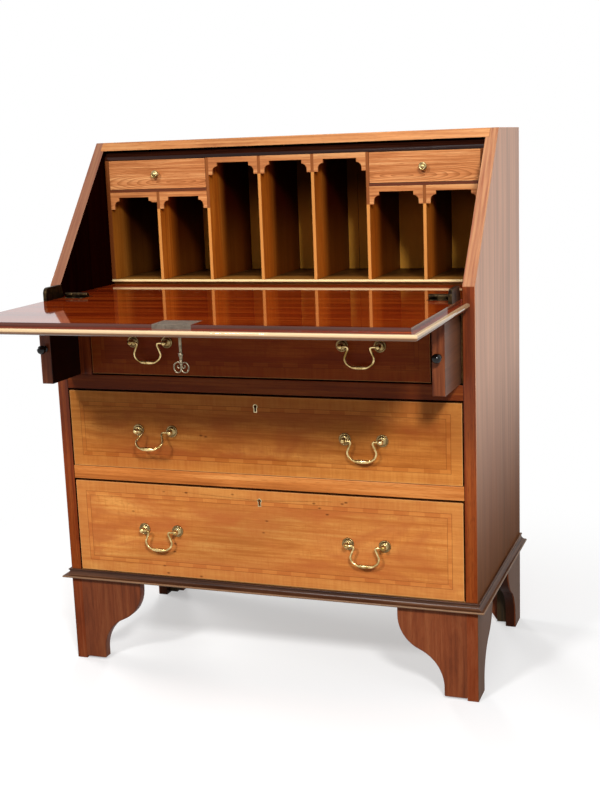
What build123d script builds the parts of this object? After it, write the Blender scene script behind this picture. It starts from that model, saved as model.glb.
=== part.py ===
"""Slant-front secretary desk: a bureau with a fall, two lopers, three long drawers and a fitted nest.

Millimetres, +Z up. The pieces are drawn with Y = 0 on the front of the carcass, +Y to the back and
Z = 0 on the floor, and are moved on export so that the origin is under the middle of the open desk.
"""
from build123d import *
import os
from math import atan2, cos, degrees, hypot, sin, sqrt, tan

# Carcass
carcass_width = 800.0
carcass_depth = 416.0
carcass_height = 992.0
side_thick = 22.0
top_thick = 16.0
top_depth = 202.0
top_lap = 7.0
board_thick = 17.0
bottom_thick = 16.0
back_thick = 10.0
back_lap = 10.0
back_board_count = 5
back_board_gap = 0.8
housing_depth = 6.0
housing_stop = 12.0

# Heights of the three drawer openings and of the rails between them
bottom_drawer_opening = 182.5
middle_drawer_opening = 150.0
top_drawer_opening = 128.5
lower_rail_thick = 25.0
upper_rail_thick = 27.0
rail_depth = 70.0
slope_foot_rise = 22.0

# Runners, loper channel and lopers
runner_thick = 20.0
runner_width = 40.0
partition_thick = 24.0
loper_guide_thick = 6.0
loper_guide_setback = 15.0
loper_thick = 22.0
loper_length = 300.0
loper_out = 100.0
loper_chamfer = 1.5
running_gap = 0.3
loper_side_gap = 0.6
loper_knob_radius = 8.0
loper_knob_neck_radius = 4.0
loper_knob_base_radius = 6.0
loper_knob_base_thick = 1.5
loper_knob_reach = 20.0

# Base moulding and bracket feet
foot_height = 168.0
foot_thick = 20.0
foot_reach = 146.0
foot_toe = 62.0
side_foot_reach = 130.0
side_foot_toe = 52.0
back_foot_toe = 45.0
front_foot_lift = 4.0
ogee_shoulder_drop = 20.0
ogee_knee_height = 20.0
ogee_round_radius = 66.0
foot_block_width = 20.0
foot_block_lift = 4.0
moulding_height = 16.0
moulding_out = 14.0
moulding_nose_radius = 2.0
moulding_quirk = 1.5
moulding_bead_out = 3.0
moulding_bead_radius = 1.5

# Fall, its hinges and its arms
hinge_rise = 4.6
lip_seat_gap = 0.4
joint_gap = 0.6
field_side_gap = 1.5
field_end_gap = 2.0
lip_end_inset = 9.0
lip_top_round = 2.5
lip_under_round = 5.0
hinge_inset = 10.0
hinge_length = 46.0
hinge_leaf_width = 22.0
hinge_leaf_thick = 2.0
hinge_barrel_radius = 4.0
hinge_pin_radius = 1.5
pin_clearance = 0.05
knuckle_gap = 0.3
arm_thick = 6.5
arm_height = 24.0
arm_front = 66.0
arm_rear_foot = 3.0
arm_rear_top = 12.0
arm_nose_radius = 11.0

# Fall lock and key
lock_width = 66.0
lock_depth = 45.0
lock_thick = 9.0
bolt_width = 20.0
bolt_thick = 3.4
bolt_length = 34.0
bolt_floor = 5.3
bolt_throw = 8.0
bolt_gap = 0.3
key_backset = 29.0
key_radius = 2.5
key_drop = 45.0
key_inset = 2.0
key_collar_radius = 4.0
key_collar_height = 3.0
key_bow_half_width = 13.8
key_bow_half_height = 9.3
key_lobe_half_width = 7.8
key_bow_rim = 2.4
key_bow_thick = 3.0

# Long drawers
drawer_gap = 1.2
top_drawer_gap = 2.8
drawer_top_gap = 4.0
drawer_side_gap = 2.0
drawer_front_thick = 20.0
drawer_side_thick = 10.0
drawer_back_thick = 9.0
drawer_bottom_thick = 6.0
drawer_back_gap = 21.0
drawer_side_drop = 6.0
drawer_back_drop = 10.0
bottom_groove = 4.0
bottom_rise = 8.0
dovetail_lap = 7.0
dovetail_spacing = 38.0
dovetail_root_share = 0.30
dovetail_tip_share = 0.38

# Drawer locks
drawer_lock_width = 60.0
drawer_lock_height = 42.0
drawer_lock_thick = 10.0
drawer_bolt_width = 18.0
drawer_bolt_thick = 6.0
drawer_bolt_height = 22.0
drawer_bolt_mortise = 8.0
keyhole_drop = 22.0
escutcheon_radius = 4.3
escutcheon_height = 15.0
escutcheon_foot = 6.6
escutcheon_wall = 1.3
escutcheon_thick = 3.0
keyhole_neck_share = 0.62
keyhole_neck_drop = 1.2
mortise_gap = 1.0

# Swan-neck handles
handle_centre_x = 201.0
post_spacing = 68.0
rose_radius = 10.0
rose_thick = 3.6
rose_edge = 1.4
rose_ring = 1.0
rose_ring_rise = 0.9
rose_dome_radius = 6.0
post_radius = 2.7
post_flare = 1.2
ball_radius = 5.0
ball_out = 13.0
bail_wire_radius = 1.8
bail_clearance = 0.06
bail_drop = 36.0
bail_half_width = 27.5
bail_wide_drop = 21.0
bail_hook_half = 18.2
bail_foot_half = 17.0
bail_hook_radius = 3.4
bail_wide_radius = 9.0
bail_foot_radius = 8.0
grip_radius = 3.7
grip_shoulder = 2.0
bail_pin_inset = 1.5
raised_bail_deg = 42.0

# Nest of pigeonholes and small drawers
nest_setback = 202.0
nest_base_thick = 5.0
nest_base_round = 2.0
nest_bearer_thick = 5.0
nest_bearer_setback = 10.0
nest_top_thick = 15.0
nest_top_edge = 5.0
nest_headroom = 19.0
nest_end_thick = 8.0
divider_thick = 6.0
bay_count = 7
shelf_thick = 5.0
small_drawer_opening = 57.0
valance_thick = 5.0
valance_drop = 33.0
valance_rail = 10.0
valance_tab = 8.0
valance_tab_edge = 6.0
valance_round = 10.0
broken_tab_drop = 20.0
small_drawer_gap = 0.8
small_drawer_front_thick = 8.0
small_drawer_wall = 5.0
small_drawer_bottom = 4.0
small_drawer_back_gap = 14.0
small_knob_radius = 8.0
small_knob_reach = 14.0
small_knob_base_radius = 4.5
small_knob_neck_radius = 2.8
small_knob_neck_length = 6.0
small_knob_edge = 1.2
small_knob_ring_radius = 5.0

# Worked out from the sizes above
half_width = carcass_width / 2
inner_x = half_width - side_thick
back_y = carcass_depth - back_thick
bottom_top = foot_height + bottom_thick
lower_rail_z = bottom_top + bottom_drawer_opening
lower_rail_top = lower_rail_z + lower_rail_thick
upper_rail_z = lower_rail_top + middle_drawer_opening
upper_rail_top = upper_rail_z + upper_rail_thick
flat_under = upper_rail_top + top_drawer_opening
flat_z = flat_under + board_thick
slope_foot_z = flat_z + slope_foot_rise
slope_run = carcass_depth - top_depth
slope_angle = atan2(carcass_height - slope_foot_z, slope_run)
top_under = carcass_height - top_thick
top_front_under_y = slope_run - top_thick / tan(slope_angle)

hinge_z = flat_z + hinge_rise
closing_deg = 180 - degrees(slope_angle)
lip_rebate = (slope_foot_z - hinge_z) * cos(slope_angle) - hinge_rise + lip_seat_gap
lip_z = flat_z - lip_rebate
fall_reach = slope_run * cos(slope_angle) + (carcass_height - hinge_z) * sin(slope_angle)
field_reach = hypot(top_front_under_y, top_under - hinge_z) - field_end_gap
field_half_width = inner_x - field_side_gap
lip_half_width = half_width - lip_end_inset
hinge_end_x = inner_x - hinge_inset
fall_axis = Axis((0, 0, hinge_z), (-1, 0, 0))

loper_outer_x = inner_x - loper_guide_thick - loper_side_gap
loper_inner_x = loper_outer_x - loper_thick
partition_outer_x = loper_inner_x - loper_side_gap
partition_inner_x = partition_outer_x - partition_thick
upper_runner_inner_x = partition_inner_x - runner_width
top_drawer_half = partition_inner_x - drawer_side_gap
long_drawer_half = inner_x - drawer_side_gap
drawer_length = back_y - drawer_back_gap

nest_base_under = flat_z + nest_bearer_thick
nest_base_top = nest_base_under + nest_base_thick
nest_top_under = top_under - nest_headroom
shelf_z = nest_top_under - small_drawer_opening
nest_inner_x = inner_x - nest_end_thick
bay_width = (2 * nest_inner_x - (bay_count - 1) * divider_thick) / bay_count

origin_y = (fall_reach - carcass_depth) / 2


def emit(node, *solids):
    """Move the finished solids to the part's origin and write them as one named node."""
    placed = [Pos(0, origin_y, 0) * solid for solid in solids]
    shape = placed[0] if len(placed) == 1 else Compound(children=placed)
    export_step(shape, f"parts/{node}.step")


def block(x0, x1, y0, y1, z0, z1):
    """A square-edged board between two opposite corners."""
    centre = Pos((x0 + x1) / 2, (y0 + y1) / 2, (z0 + z1) / 2)
    return centre * Box(x1 - x0, y1 - y0, z1 - z0)


def side_profile(face, x0, x1):
    """A face drawn as (Y, Z), carried across from x0 to x1."""
    return Pos(x0, 0, 0) * extrude(Plane.YZ * face, amount=x1 - x0, dir=(1, 0, 0))


def front_profile(face, y0, y1):
    """A face drawn as (X, Z), carried back from y0 to y1."""
    return Pos(0, y0, 0) * extrude(Plane.XZ * face, amount=y1 - y0, dir=(0, 1, 0))


def turned(outline):
    """A turned piece: the outline's (radius, Y) points spun round the Y axis."""
    return revolve(make_face(Polyline(*outline, close=True)), Axis.Y)


def both_hands(solid):
    """The right-hand piece and its mirror image on the left."""
    return solid, mirror(solid, about=Plane.YZ)


def housed_board(z0, z1, y1):
    """A board across the carcass whose ends sit in housings that stop short of the front."""
    seen = block(-inner_x, inner_x, 0, y1, z0, z1)
    reach = inner_x + housing_depth
    return seen + block(-reach, reach, housing_stop, y1, z0, z1)


os.makedirs("parts", exist_ok=True)


# Drawer-lock mortises are cut in the rail above each locked drawer.
def bolt_mortise(rail_z):
    """Pocket in a rail's underside that takes the raised bolt of the drawer below."""
    half = drawer_bolt_width / 2 + mortise_gap
    middle_y = drawer_front_thick - drawer_lock_thick / 2
    reach = drawer_bolt_thick / 2 + mortise_gap
    return block(-half, half, middle_y - reach, middle_y + reach, rail_z, rail_z + drawer_bolt_mortise)


# Horizontal boards of the carcass
bottom_board = housed_board(foot_height, bottom_top, back_y)
lower_rail = housed_board(lower_rail_z, lower_rail_top, rail_depth) - bolt_mortise(lower_rail_z)
upper_rail = housed_board(upper_rail_z, upper_rail_top, rail_depth) - bolt_mortise(upper_rail_z)
flat_blank = housed_board(flat_under, flat_z, back_y)

# Top board, lapped into the tops of the sides, its front edge bevelled to the slope
top_outline = Polygon(
    (top_front_under_y, top_under),
    (slope_run, carcass_height),
    (carcass_depth, carcass_height),
    (carcass_depth, top_under),
    align=None,
)
top_blank = side_profile(top_outline, -inner_x - top_lap, inner_x + top_lap)

# Back: upright boards in a rebate at the back of the sides
back_half = inner_x + back_lap
back_panel = block(-back_half, back_half, back_y, carcass_depth, foot_height, top_under)
back_pitch = (2 * back_half + back_board_gap) / back_board_count
back_boards = [
    block(
        -back_half + number * back_pitch,
        -back_half + (number + 1) * back_pitch - back_board_gap,
        back_y,
        carcass_depth,
        foot_height,
        top_under,
    )
    for number in range(back_board_count)
]

# Sides: one board each, cut to the slope and housed for everything that crosses the carcass
side_outline = Polygon(
    (0, foot_height),
    (0, slope_foot_z),
    (slope_run, carcass_height),
    (carcass_depth, carcass_height),
    (carcass_depth, foot_height),
    align=None,
)
side_right = side_profile(side_outline, inner_x, half_width)
for housed in (bottom_board, lower_rail, upper_rail, flat_blank, top_blank, back_panel):
    side_right = side_right - housed
emit("side_right", side_right)
emit("side_left", mirror(side_right, about=Plane.YZ))
emit("bottom_board", bottom_board)
emit("drawer_rail_lower", lower_rail)
emit("drawer_rail_upper", upper_rail)
emit("back_boards", *back_boards)

# Runners behind the rails, the loper channel's partitions and its guide strips
lower_runner = block(
    inner_x - runner_width, inner_x, rail_depth, back_y, lower_rail_top - runner_thick, lower_rail_top
)
upper_runner = block(
    upper_runner_inner_x, inner_x, rail_depth, back_y, upper_rail_top - runner_thick, upper_rail_top
)
loper_guide = block(
    inner_x - loper_guide_thick, inner_x, loper_guide_setback, back_y, upper_rail_top, flat_under
)
partition = block(partition_inner_x, partition_outer_x, 0, back_y, upper_rail_top, flat_under)
emit("drawer_runners", *both_hands(lower_runner), *both_hands(upper_runner), *both_hands(loper_guide))
emit("loper_partitions", *both_hands(partition))

# Base moulding: a round nose, a quirk, a cove and a bead under the carcass edge, mitred at the front
nose_back = moulding_out - moulding_nose_radius
nose_top = 2 * moulding_nose_radius
cove_start = (nose_back - moulding_quirk, nose_top)
bead_foot = (moulding_bead_out, moulding_height - 2 * moulding_bead_radius)
bead_nose = (moulding_bead_out + moulding_bead_radius, moulding_height - moulding_bead_radius)
bead_head = (moulding_bead_out, moulding_height)
moulding_face = make_face(
    [
        Line((0, 0), (nose_back, 0)),
        ThreePointArc((nose_back, 0), (moulding_out, moulding_nose_radius), (nose_back, nose_top)),
        Line((nose_back, nose_top), cove_start),
        TangentArc(cove_start, bead_foot, tangent=(-1, 0)),
        ThreePointArc(bead_foot, bead_nose, bead_head),
        Line(bead_head, (0, moulding_height)),
        Line((0, moulding_height), (0, 0)),
    ]
)
front_section = Plane(origin=(0, 0, foot_height), x_dir=(0, -1, 0), z_dir=(-1, 0, 0)) * moulding_face
side_section = Plane(origin=(half_width, 0, foot_height), x_dir=(1, 0, 0), z_dir=(0, -1, 0)) * moulding_face
mitre_plane = Plane(origin=(half_width, 0, 0), z_dir=(1, 1, 0))
front_half = extrude(front_section, amount=half_width + moulding_out, dir=(1, 0, 0))
front_half = split(front_half, bisect_by=mitre_plane, keep=Keep.BOTTOM)
front_moulding = front_half + mirror(front_half, about=Plane.YZ)
side_moulding = Pos(0, -moulding_out, 0) * extrude(
    side_section, amount=carcass_depth + moulding_out, dir=(0, 1, 0)
)
side_moulding = split(side_moulding, bisect_by=mitre_plane, keep=Keep.TOP)
emit("base_moulding", front_moulding, *both_hands(side_moulding))


def bracket_face(start, toe, reach, lift):
    """Ogee bracket outline as (distance from the corner, height).

    The edge rises from the toe and turns from hollow to round where two tangent arcs meet. The sum
    of their radii follows from the width and rise between knee and shoulder.
    """
    knee = (toe, ogee_knee_height)
    shoulder = (reach, foot_height - ogee_shoulder_drop)
    width = shoulder[0] - knee[0]
    rise = shoulder[1] - knee[1]
    radii = (width**2 + rise**2) / (2 * width)
    round_share = ogee_round_radius / radii
    turn = (shoulder[0] - round_share * width, shoulder[1] - round_share * rise)
    return make_face(
        [
            Line((start, lift), (toe, lift)),
            Line((toe, lift), knee),
            RadiusArc(knee, turn, radii - ogee_round_radius),
            RadiusArc(turn, shoulder, -ogee_round_radius),
            Line(shoulder, (reach, foot_height)),
            Line((reach, foot_height), (start, foot_height)),
            Line((start, foot_height), (start, lift)),
        ]
    )


# Bracket feet: the side brackets run through to the front, and the front brackets butt against them
front_bracket = front_profile(bracket_face(foot_thick, foot_toe, foot_reach, front_foot_lift), 0, foot_thick)
front_bracket = mirror(front_bracket, about=Plane.YZ)
front_bracket = Pos(half_width, 0, 0) * front_bracket
side_bracket = side_profile(
    bracket_face(0, side_foot_toe, side_foot_reach, 0), half_width - foot_thick, half_width
)
rear_side_bracket = Pos(0, carcass_depth, 0) * mirror(side_bracket, about=Plane.XZ)
back_bracket_face = Polygon(
    (half_width - foot_thick, 0),
    (half_width - back_foot_toe, 0),
    (half_width - foot_reach, foot_height - ogee_shoulder_drop),
    (half_width - foot_reach, foot_height),
    (half_width - foot_thick, foot_height),
    align=None,
)
back_bracket = front_profile(back_bracket_face, carcass_depth - foot_thick, carcass_depth)
block_outer_x = half_width - foot_thick
front_block = block(
    block_outer_x - foot_block_width,
    block_outer_x,
    foot_thick,
    foot_thick + foot_block_width,
    foot_block_lift,
    foot_height,
)
rear_block = Pos(0, carcass_depth - 2 * foot_thick - foot_block_width, 0) * front_block
emit("foot_brackets_front", *both_hands(front_bracket))
emit("foot_brackets_side", *both_hands(side_bracket), *both_hands(rear_side_bracket))
emit("foot_brackets_back", *both_hands(back_bracket))
emit("foot_blocks", *both_hands(front_block), *both_hands(rear_block))


# Hinges: three knuckles on a raised barrel, so that the fall's lip can land on the slope
knuckle_length = (hinge_length - 2 * knuckle_gap) / 3
knuckle_starts = [
    hinge_end_x - hinge_length + number * (knuckle_length + knuckle_gap) for number in range(3)
]


def knuckle(start, web_y0, web_y1):
    """One knuckle of the barrel, with the web that carries it up from its leaf."""
    end = start + knuckle_length
    place = Pos((start + end) / 2, 0, hinge_z) * Rot(0, 90, 0)
    web = block(start, end, web_y0, web_y1, flat_z - hinge_leaf_thick, hinge_z)
    barrel = web + place * Cylinder(hinge_barrel_radius, knuckle_length)
    return barrel - place * Cylinder(hinge_pin_radius + pin_clearance, knuckle_length)


def leaf(y0, y1):
    """The flat plate of a hinge, let in flush with the wood."""
    return block(hinge_end_x - hinge_length, hinge_end_x, y0, y1, flat_z - hinge_leaf_thick, flat_z)


flat_pocket = leaf(0, hinge_leaf_width)
fall_pocket = leaf(-hinge_leaf_width, -joint_gap)
flat_leaf = (
    flat_pocket
    + knuckle(knuckle_starts[0], 0, hinge_barrel_radius)
    + knuckle(knuckle_starts[2], 0, hinge_barrel_radius)
)
fall_leaf = fall_pocket + knuckle(knuckle_starts[1], -hinge_barrel_radius, -joint_gap)
hinge_pin = Pos(hinge_end_x - hinge_length / 2, 0, hinge_z) * Rot(0, 90, 0) * Cylinder(
    hinge_pin_radius, hinge_length
)
emit("hinge_leaves_flat", *both_hands(flat_leaf), *both_hands(hinge_pin))
emit("hinge_leaves_fall", *both_hands(fall_leaf))

writing_flat = flat_blank
for pocket in both_hands(flat_pocket):
    writing_flat = writing_flat - pocket
emit("writing_flat", writing_flat)


# Fall: one board, rebated on three edges so that a raised field goes between the sides
lip = block(-lip_half_width, lip_half_width, -fall_reach, -joint_gap, flat_under, lip_z)
front_lip_edges = lip.edges().filter_by(Axis.X).group_by(Axis.Y)[0]
end_lip_edges = lip.edges().filter_by(Axis.Y)
upper_lip_edges = (front_lip_edges + end_lip_edges).filter_by(lambda edge: edge.center().Z > flat_under + 1)
lip = fillet(upper_lip_edges, lip_top_round)
front_lip_edges = lip.edges().filter_by(Axis.X).group_by(Axis.Z)[0].group_by(Axis.Y)[0]
end_lip_edges = lip.edges().filter_by(Axis.Y).group_by(Axis.Z)[0]
lip = fillet(front_lip_edges + end_lip_edges, lip_under_round)
field = block(-field_half_width, field_half_width, -field_reach, -joint_gap, lip_z, flat_z)
fall_board = lip + field


def keyhole_face(radius, foot, height):
    """Keyhole outline: a round eye over a flared skirt, its top at zero and hanging down by height."""
    neck_half = radius * keyhole_neck_share
    neck_z = -radius * keyhole_neck_drop
    skirt = Polygon(
        (-foot / 2, -height),
        (foot / 2, -height),
        (neck_half, neck_z),
        (-neck_half, neck_z),
        align=None,
    )
    return Pos(0, -radius) * Circle(radius) + skirt


def escutcheon_faces():
    """Outer and inner outlines of a brass thread escutcheon, both round the same eye."""
    outer = keyhole_face(escutcheon_radius, escutcheon_foot, escutcheon_height)
    inner = Pos(0, -escutcheon_wall) * keyhole_face(
        escutcheon_radius - escutcheon_wall,
        escutcheon_foot - 2 * escutcheon_wall,
        escutcheon_height - 2 * escutcheon_wall,
    )
    return outer, inner


# Fall lock: a case let into the writing side, with its bolt leaving through the field's front edge
lock_y1 = lock_depth - field_reach
key_y = key_backset - field_reach
bolt_z = flat_z - bolt_floor
lock_case = block(-lock_width / 2, lock_width / 2, -field_reach, lock_y1, flat_z - lock_thick, flat_z)
bolt_half = bolt_width / 2
bolt_channel = block(
    -bolt_half - bolt_gap,
    bolt_half + bolt_gap,
    -field_reach,
    bolt_length + 2 * bolt_gap - field_reach,
    bolt_z - bolt_gap,
    bolt_z + bolt_thick + bolt_gap,
)
key_tip_z = flat_z - lock_thick + key_inset
key_place = Pos(0, key_y, 0)
key_bore = key_place * Pos(0, 0, flat_z - lock_thick + key_inset / 2) * Cylinder(
    key_radius + pin_clearance, key_inset + 2 * running_gap
)
lock_bolt = block(
    -bolt_half, bolt_half, bolt_gap - field_reach, bolt_length - field_reach, bolt_z, bolt_z + bolt_thick
)
fall_eye = Pos(0, key_y, flat_under) * Rot(0, 0, 180) * Pos(0, escutcheon_radius, 0)
outer_eye, inner_eye = escutcheon_faces()
fall_escutcheon = extrude(fall_eye * (outer_eye - inner_eye), amount=escutcheon_thick, dir=(0, 0, 1))
escutcheon_seat = extrude(fall_eye * outer_eye, amount=escutcheon_thick, dir=(0, 0, 1))
key_hole = extrude(fall_eye * inner_eye, amount=board_thick - lock_thick, dir=(0, 0, 1))
emit("fall_lock_case", lock_case - bolt_channel - key_bore, fall_escutcheon)
emit("fall_lock_bolt", lock_bolt)

fall_board = fall_board - lock_case - escutcheon_seat - key_hole
for pocket in both_hands(fall_pocket):
    fall_board = fall_board - pocket
emit("fall_board", fall_board)

# The bolt's mortise in the top board is its thrown place with the fall shut
thrown_bolt = block(
    -bolt_half - mortise_gap,
    bolt_half + mortise_gap,
    -field_reach - bolt_throw - mortise_gap,
    -field_reach,
    bolt_z - mortise_gap,
    bolt_z + bolt_thick + mortise_gap,
)
top_board = top_blank - thrown_bolt.rotate(fall_axis, closing_deg)
emit("top_board", top_board)

# Key: hangs from the lock through the fall's outer face, with two oval lobes side by side for a bow
bow_z = flat_under - key_drop - key_bow_half_height
lobe_x = key_bow_half_width - key_lobe_half_width
shank_foot_z = bow_z + key_bow_half_height * sqrt(1 - (lobe_x / key_lobe_half_width) ** 2) - key_bow_rim
shank = Pos(0, 0, (key_tip_z + shank_foot_z) / 2) * Cylinder(key_radius, key_tip_z - shank_foot_z)
collar = Pos(0, 0, flat_under - key_drop + key_collar_height) * Cylinder(key_collar_radius, key_collar_height)
lobe_face = Ellipse(key_lobe_half_width, key_bow_half_height) - Ellipse(
    key_lobe_half_width - key_bow_rim, key_bow_half_height - key_bow_rim
)
lobe = Pos(lobe_x, 0, bow_z) * front_profile(lobe_face, -key_bow_thick / 2, key_bow_thick / 2)
bow = lobe + mirror(lobe, about=Plane.YZ)
emit("fall_key", key_place * (shank + collar + bow))

# Arms: brass plates on edge, standing on the ends of the fall beside the hinges
arm_outline = Polygon(
    (-arm_rear_foot, flat_z),
    (-arm_rear_top, flat_z + arm_height),
    (-arm_front, flat_z + arm_height),
    (-arm_front, flat_z),
    align=None,
)
arm_nose = arm_outline.vertices().group_by(Axis.X)[0].sort_by(Axis.Y)[-1]
arm_outline = fillet(arm_nose, arm_nose_radius)
fall_arm = side_profile(arm_outline, field_half_width - arm_thick, field_half_width)
emit("fall_arms", *both_hands(fall_arm))


# Lopers: flat boards on edge that slide out to carry the fall, each with a turned knob
loper_z0 = upper_rail_top + running_gap
loper_z1 = flat_under - running_gap
loper = block(loper_inner_x, loper_outer_x, -loper_out, loper_length - loper_out, loper_z0, loper_z1)
loper = chamfer(loper.faces().sort_by(Axis.Y)[0].edges(), loper_chamfer)
knob_centre = loper_knob_reach - loper_knob_radius
loper_knob = turned(
    [
        (0, 0),
        (loper_knob_base_radius, 0),
        (loper_knob_base_radius, -loper_knob_base_thick),
        (loper_knob_neck_radius, -2 * loper_knob_base_thick),
        (loper_knob_neck_radius, -knob_centre),
        (0, -knob_centre),
    ]
) + Pos(0, -knob_centre, 0) * Sphere(loper_knob_radius)
loper_knob = Pos((loper_inner_x + loper_outer_x) / 2, -loper_out, (loper_z0 + loper_z1) / 2) * loper_knob
for side_name, pieces in zip(("right", "left"), zip(both_hands(loper), both_hands(loper_knob))):
    emit(f"loper_{side_name}", pieces[0])
    emit(f"loper_{side_name}_knob", pieces[1])


def drawer_side(x0, x1, z0, z1, tail_z0, tail_z1):
    """A drawer side with lapped dovetails on its front end."""
    board = block(x0, x1, drawer_front_thick, drawer_length, z0, z1)
    count = max(2, round((tail_z1 - tail_z0) / dovetail_spacing))
    pitch = (tail_z1 - tail_z0) / count
    for number in range(count):
        middle = tail_z0 + (number + 0.5) * pitch
        root = dovetail_root_share * pitch
        tip = dovetail_tip_share * pitch
        tail = Polygon(
            (drawer_front_thick, middle - root),
            (dovetail_lap, middle - tip),
            (dovetail_lap, middle + tip),
            (drawer_front_thick, middle + root),
            align=None,
        )
        board = board + side_profile(tail, x0, x1)
    return board


# Rose and post of a handle: a domed rose, a short neck and a ball drilled for the bail
rose_post = turned(
    [
        (0, 0),
        (rose_radius, 0),
        (rose_radius, -rose_edge),
        (rose_radius - rose_ring, -rose_edge - rose_ring_rise),
        (rose_radius - 2 * rose_ring, -rose_edge),
        (rose_dome_radius, -rose_thick),
        (post_radius + post_flare, -rose_thick),
        (post_radius, -rose_thick - post_flare),
        (post_radius, -ball_out),
        (0, -ball_out),
    ]
) + Pos(0, -ball_out, 0) * Sphere(ball_radius)
bail_tip_x = post_spacing / 2 - bail_pin_inset
pin_hole = Pos(bail_tip_x + running_gap - ball_radius / 2, -ball_out, 0) * Rot(0, 90, 0) * Cylinder(
    bail_wire_radius + bail_clearance, ball_radius
)
right_post = Pos(post_spacing / 2, 0, 0) * rose_post - pin_hole

# Bail: a wire that hooks in at the posts, swings out and closes under a swelling grip
half_bail = [
    (bail_tip_x, 0),
    (bail_hook_half, 0),
    (bail_half_width, -bail_wide_drop),
    (bail_foot_half, -bail_drop),
]
bail_points = half_bail + [(-x, z) for x, z in reversed(half_bail)]
half_radii = [bail_hook_radius, bail_wide_radius, bail_foot_radius]
bail_path = Plane.XZ * FilletPolyline(*bail_points, radius=half_radii + half_radii[::-1])
bail_section = Plane(origin=bail_path @ 0, z_dir=bail_path % 0) * Circle(bail_wire_radius)
grip_half = bail_foot_half - grip_shoulder
grip_outline = make_face(
    [
        ThreePointArc((-grip_half, bail_wire_radius), (0, grip_radius), (grip_half, bail_wire_radius)),
        Polyline((grip_half, bail_wire_radius), (grip_half, 0), (-grip_half, 0), (-grip_half, bail_wire_radius)),
    ]
)
grip = Pos(0, 0, -bail_drop) * revolve(grip_outline, Axis.X)
bail = sweep(bail_section, bail_path) + grip
bail = Pos(0, -ball_out, 0) * bail
bail_axis = Axis((0, -ball_out, 0), (-1, 0, 0))


def long_drawer(name, half, opening_z, opening_height, under_gap, locked, raised_side):
    """A long drawer in its opening: dovetailed box, two handles, and a lock where the front has a keyhole."""
    front_z0 = opening_z + under_gap
    front_z1 = opening_z + opening_height - drawer_top_gap
    side_z0 = opening_z + running_gap
    side_z1 = front_z1 - drawer_side_drop
    inside = half - drawer_side_thick
    floor_z0 = side_z0 + bottom_rise
    floor_z1 = floor_z0 + drawer_bottom_thick
    floor_half = inside + bottom_groove
    front_groove_y = drawer_front_thick - bottom_groove
    drawer_floor = block(-floor_half, floor_half, front_groove_y, drawer_length, floor_z0, floor_z1)
    right_side = drawer_side(inside, half, side_z0, side_z1, front_z0, side_z1)
    front = block(-half, half, 0, drawer_front_thick, front_z0, front_z1)
    for side in both_hands(right_side):
        front = front - side
    front = front - drawer_floor
    right_side = right_side - drawer_floor
    back_y0 = drawer_length - drawer_back_thick
    back = block(-inside, inside, back_y0, drawer_length, floor_z1, side_z1 - drawer_back_drop)

    if locked:
        lock_y0 = drawer_front_thick - drawer_lock_thick
        lock_half = drawer_lock_width / 2
        case = block(-lock_half, lock_half, lock_y0, drawer_front_thick, front_z1 - drawer_lock_height, front_z1)
        bolt_y = drawer_front_thick - drawer_lock_thick / 2
        reach = drawer_bolt_thick / 2
        wide = drawer_bolt_width / 2
        bolt_z0 = front_z1 - drawer_bolt_height
        bolt = block(-wide, wide, bolt_y - reach, bolt_y + reach, bolt_z0, front_z1 - running_gap)
        channel = block(
            -wide - bolt_gap,
            wide + bolt_gap,
            bolt_y - reach - bolt_gap,
            bolt_y + reach + bolt_gap,
            bolt_z0 - bolt_gap,
            front_z1,
        )
        eye = Pos(0, 0, front_z1 - keyhole_drop + escutcheon_height / 2)
        outer, inner = escutcheon_faces()
        escutcheon = eye * front_profile(outer - inner, 0, escutcheon_thick)
        front = front - case - eye * front_profile(outer, 0, escutcheon_thick)
        front = front - eye * front_profile(inner, 0, lock_y0)
        emit(f"{name}_lock", case - channel, escutcheon)
        emit(f"{name}_lock_bolt", bolt)

    emit(f"{name}_front", front)
    emit(f"{name}_sides", *both_hands(right_side), back)
    emit(f"{name}_bottom", drawer_floor)
    handle_z = opening_z + opening_height / 2
    posts = []
    for side_name, sign in (("right", 1), ("left", -1)):
        place = Pos(sign * handle_centre_x, 0, handle_z)
        posts += [place * post for post in both_hands(right_post)]
        hung = bail.rotate(bail_axis, raised_bail_deg) if side_name == raised_side else bail
        emit(f"{name}_bail_{side_name}", place * hung)
    emit(f"{name}_handle_posts", *posts)


long_drawer("top_drawer", top_drawer_half, upper_rail_top, top_drawer_opening, top_drawer_gap, False, None)
long_drawer("middle_drawer", long_drawer_half, lower_rail_top, middle_drawer_opening, drawer_gap, True, "left")
long_drawer("bottom_drawer", long_drawer_half, bottom_top, bottom_drawer_opening, drawer_gap, True, None)


def divider_x(number):
    """Left face of a nest divider, counted from one at the left."""
    return -nest_inner_x + number * bay_width + (number - 1) * divider_thick


def bay_x(number):
    """Left face of a bay, counted from nought at the left."""
    return -nest_inner_x + number * (bay_width + divider_thick)


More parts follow.
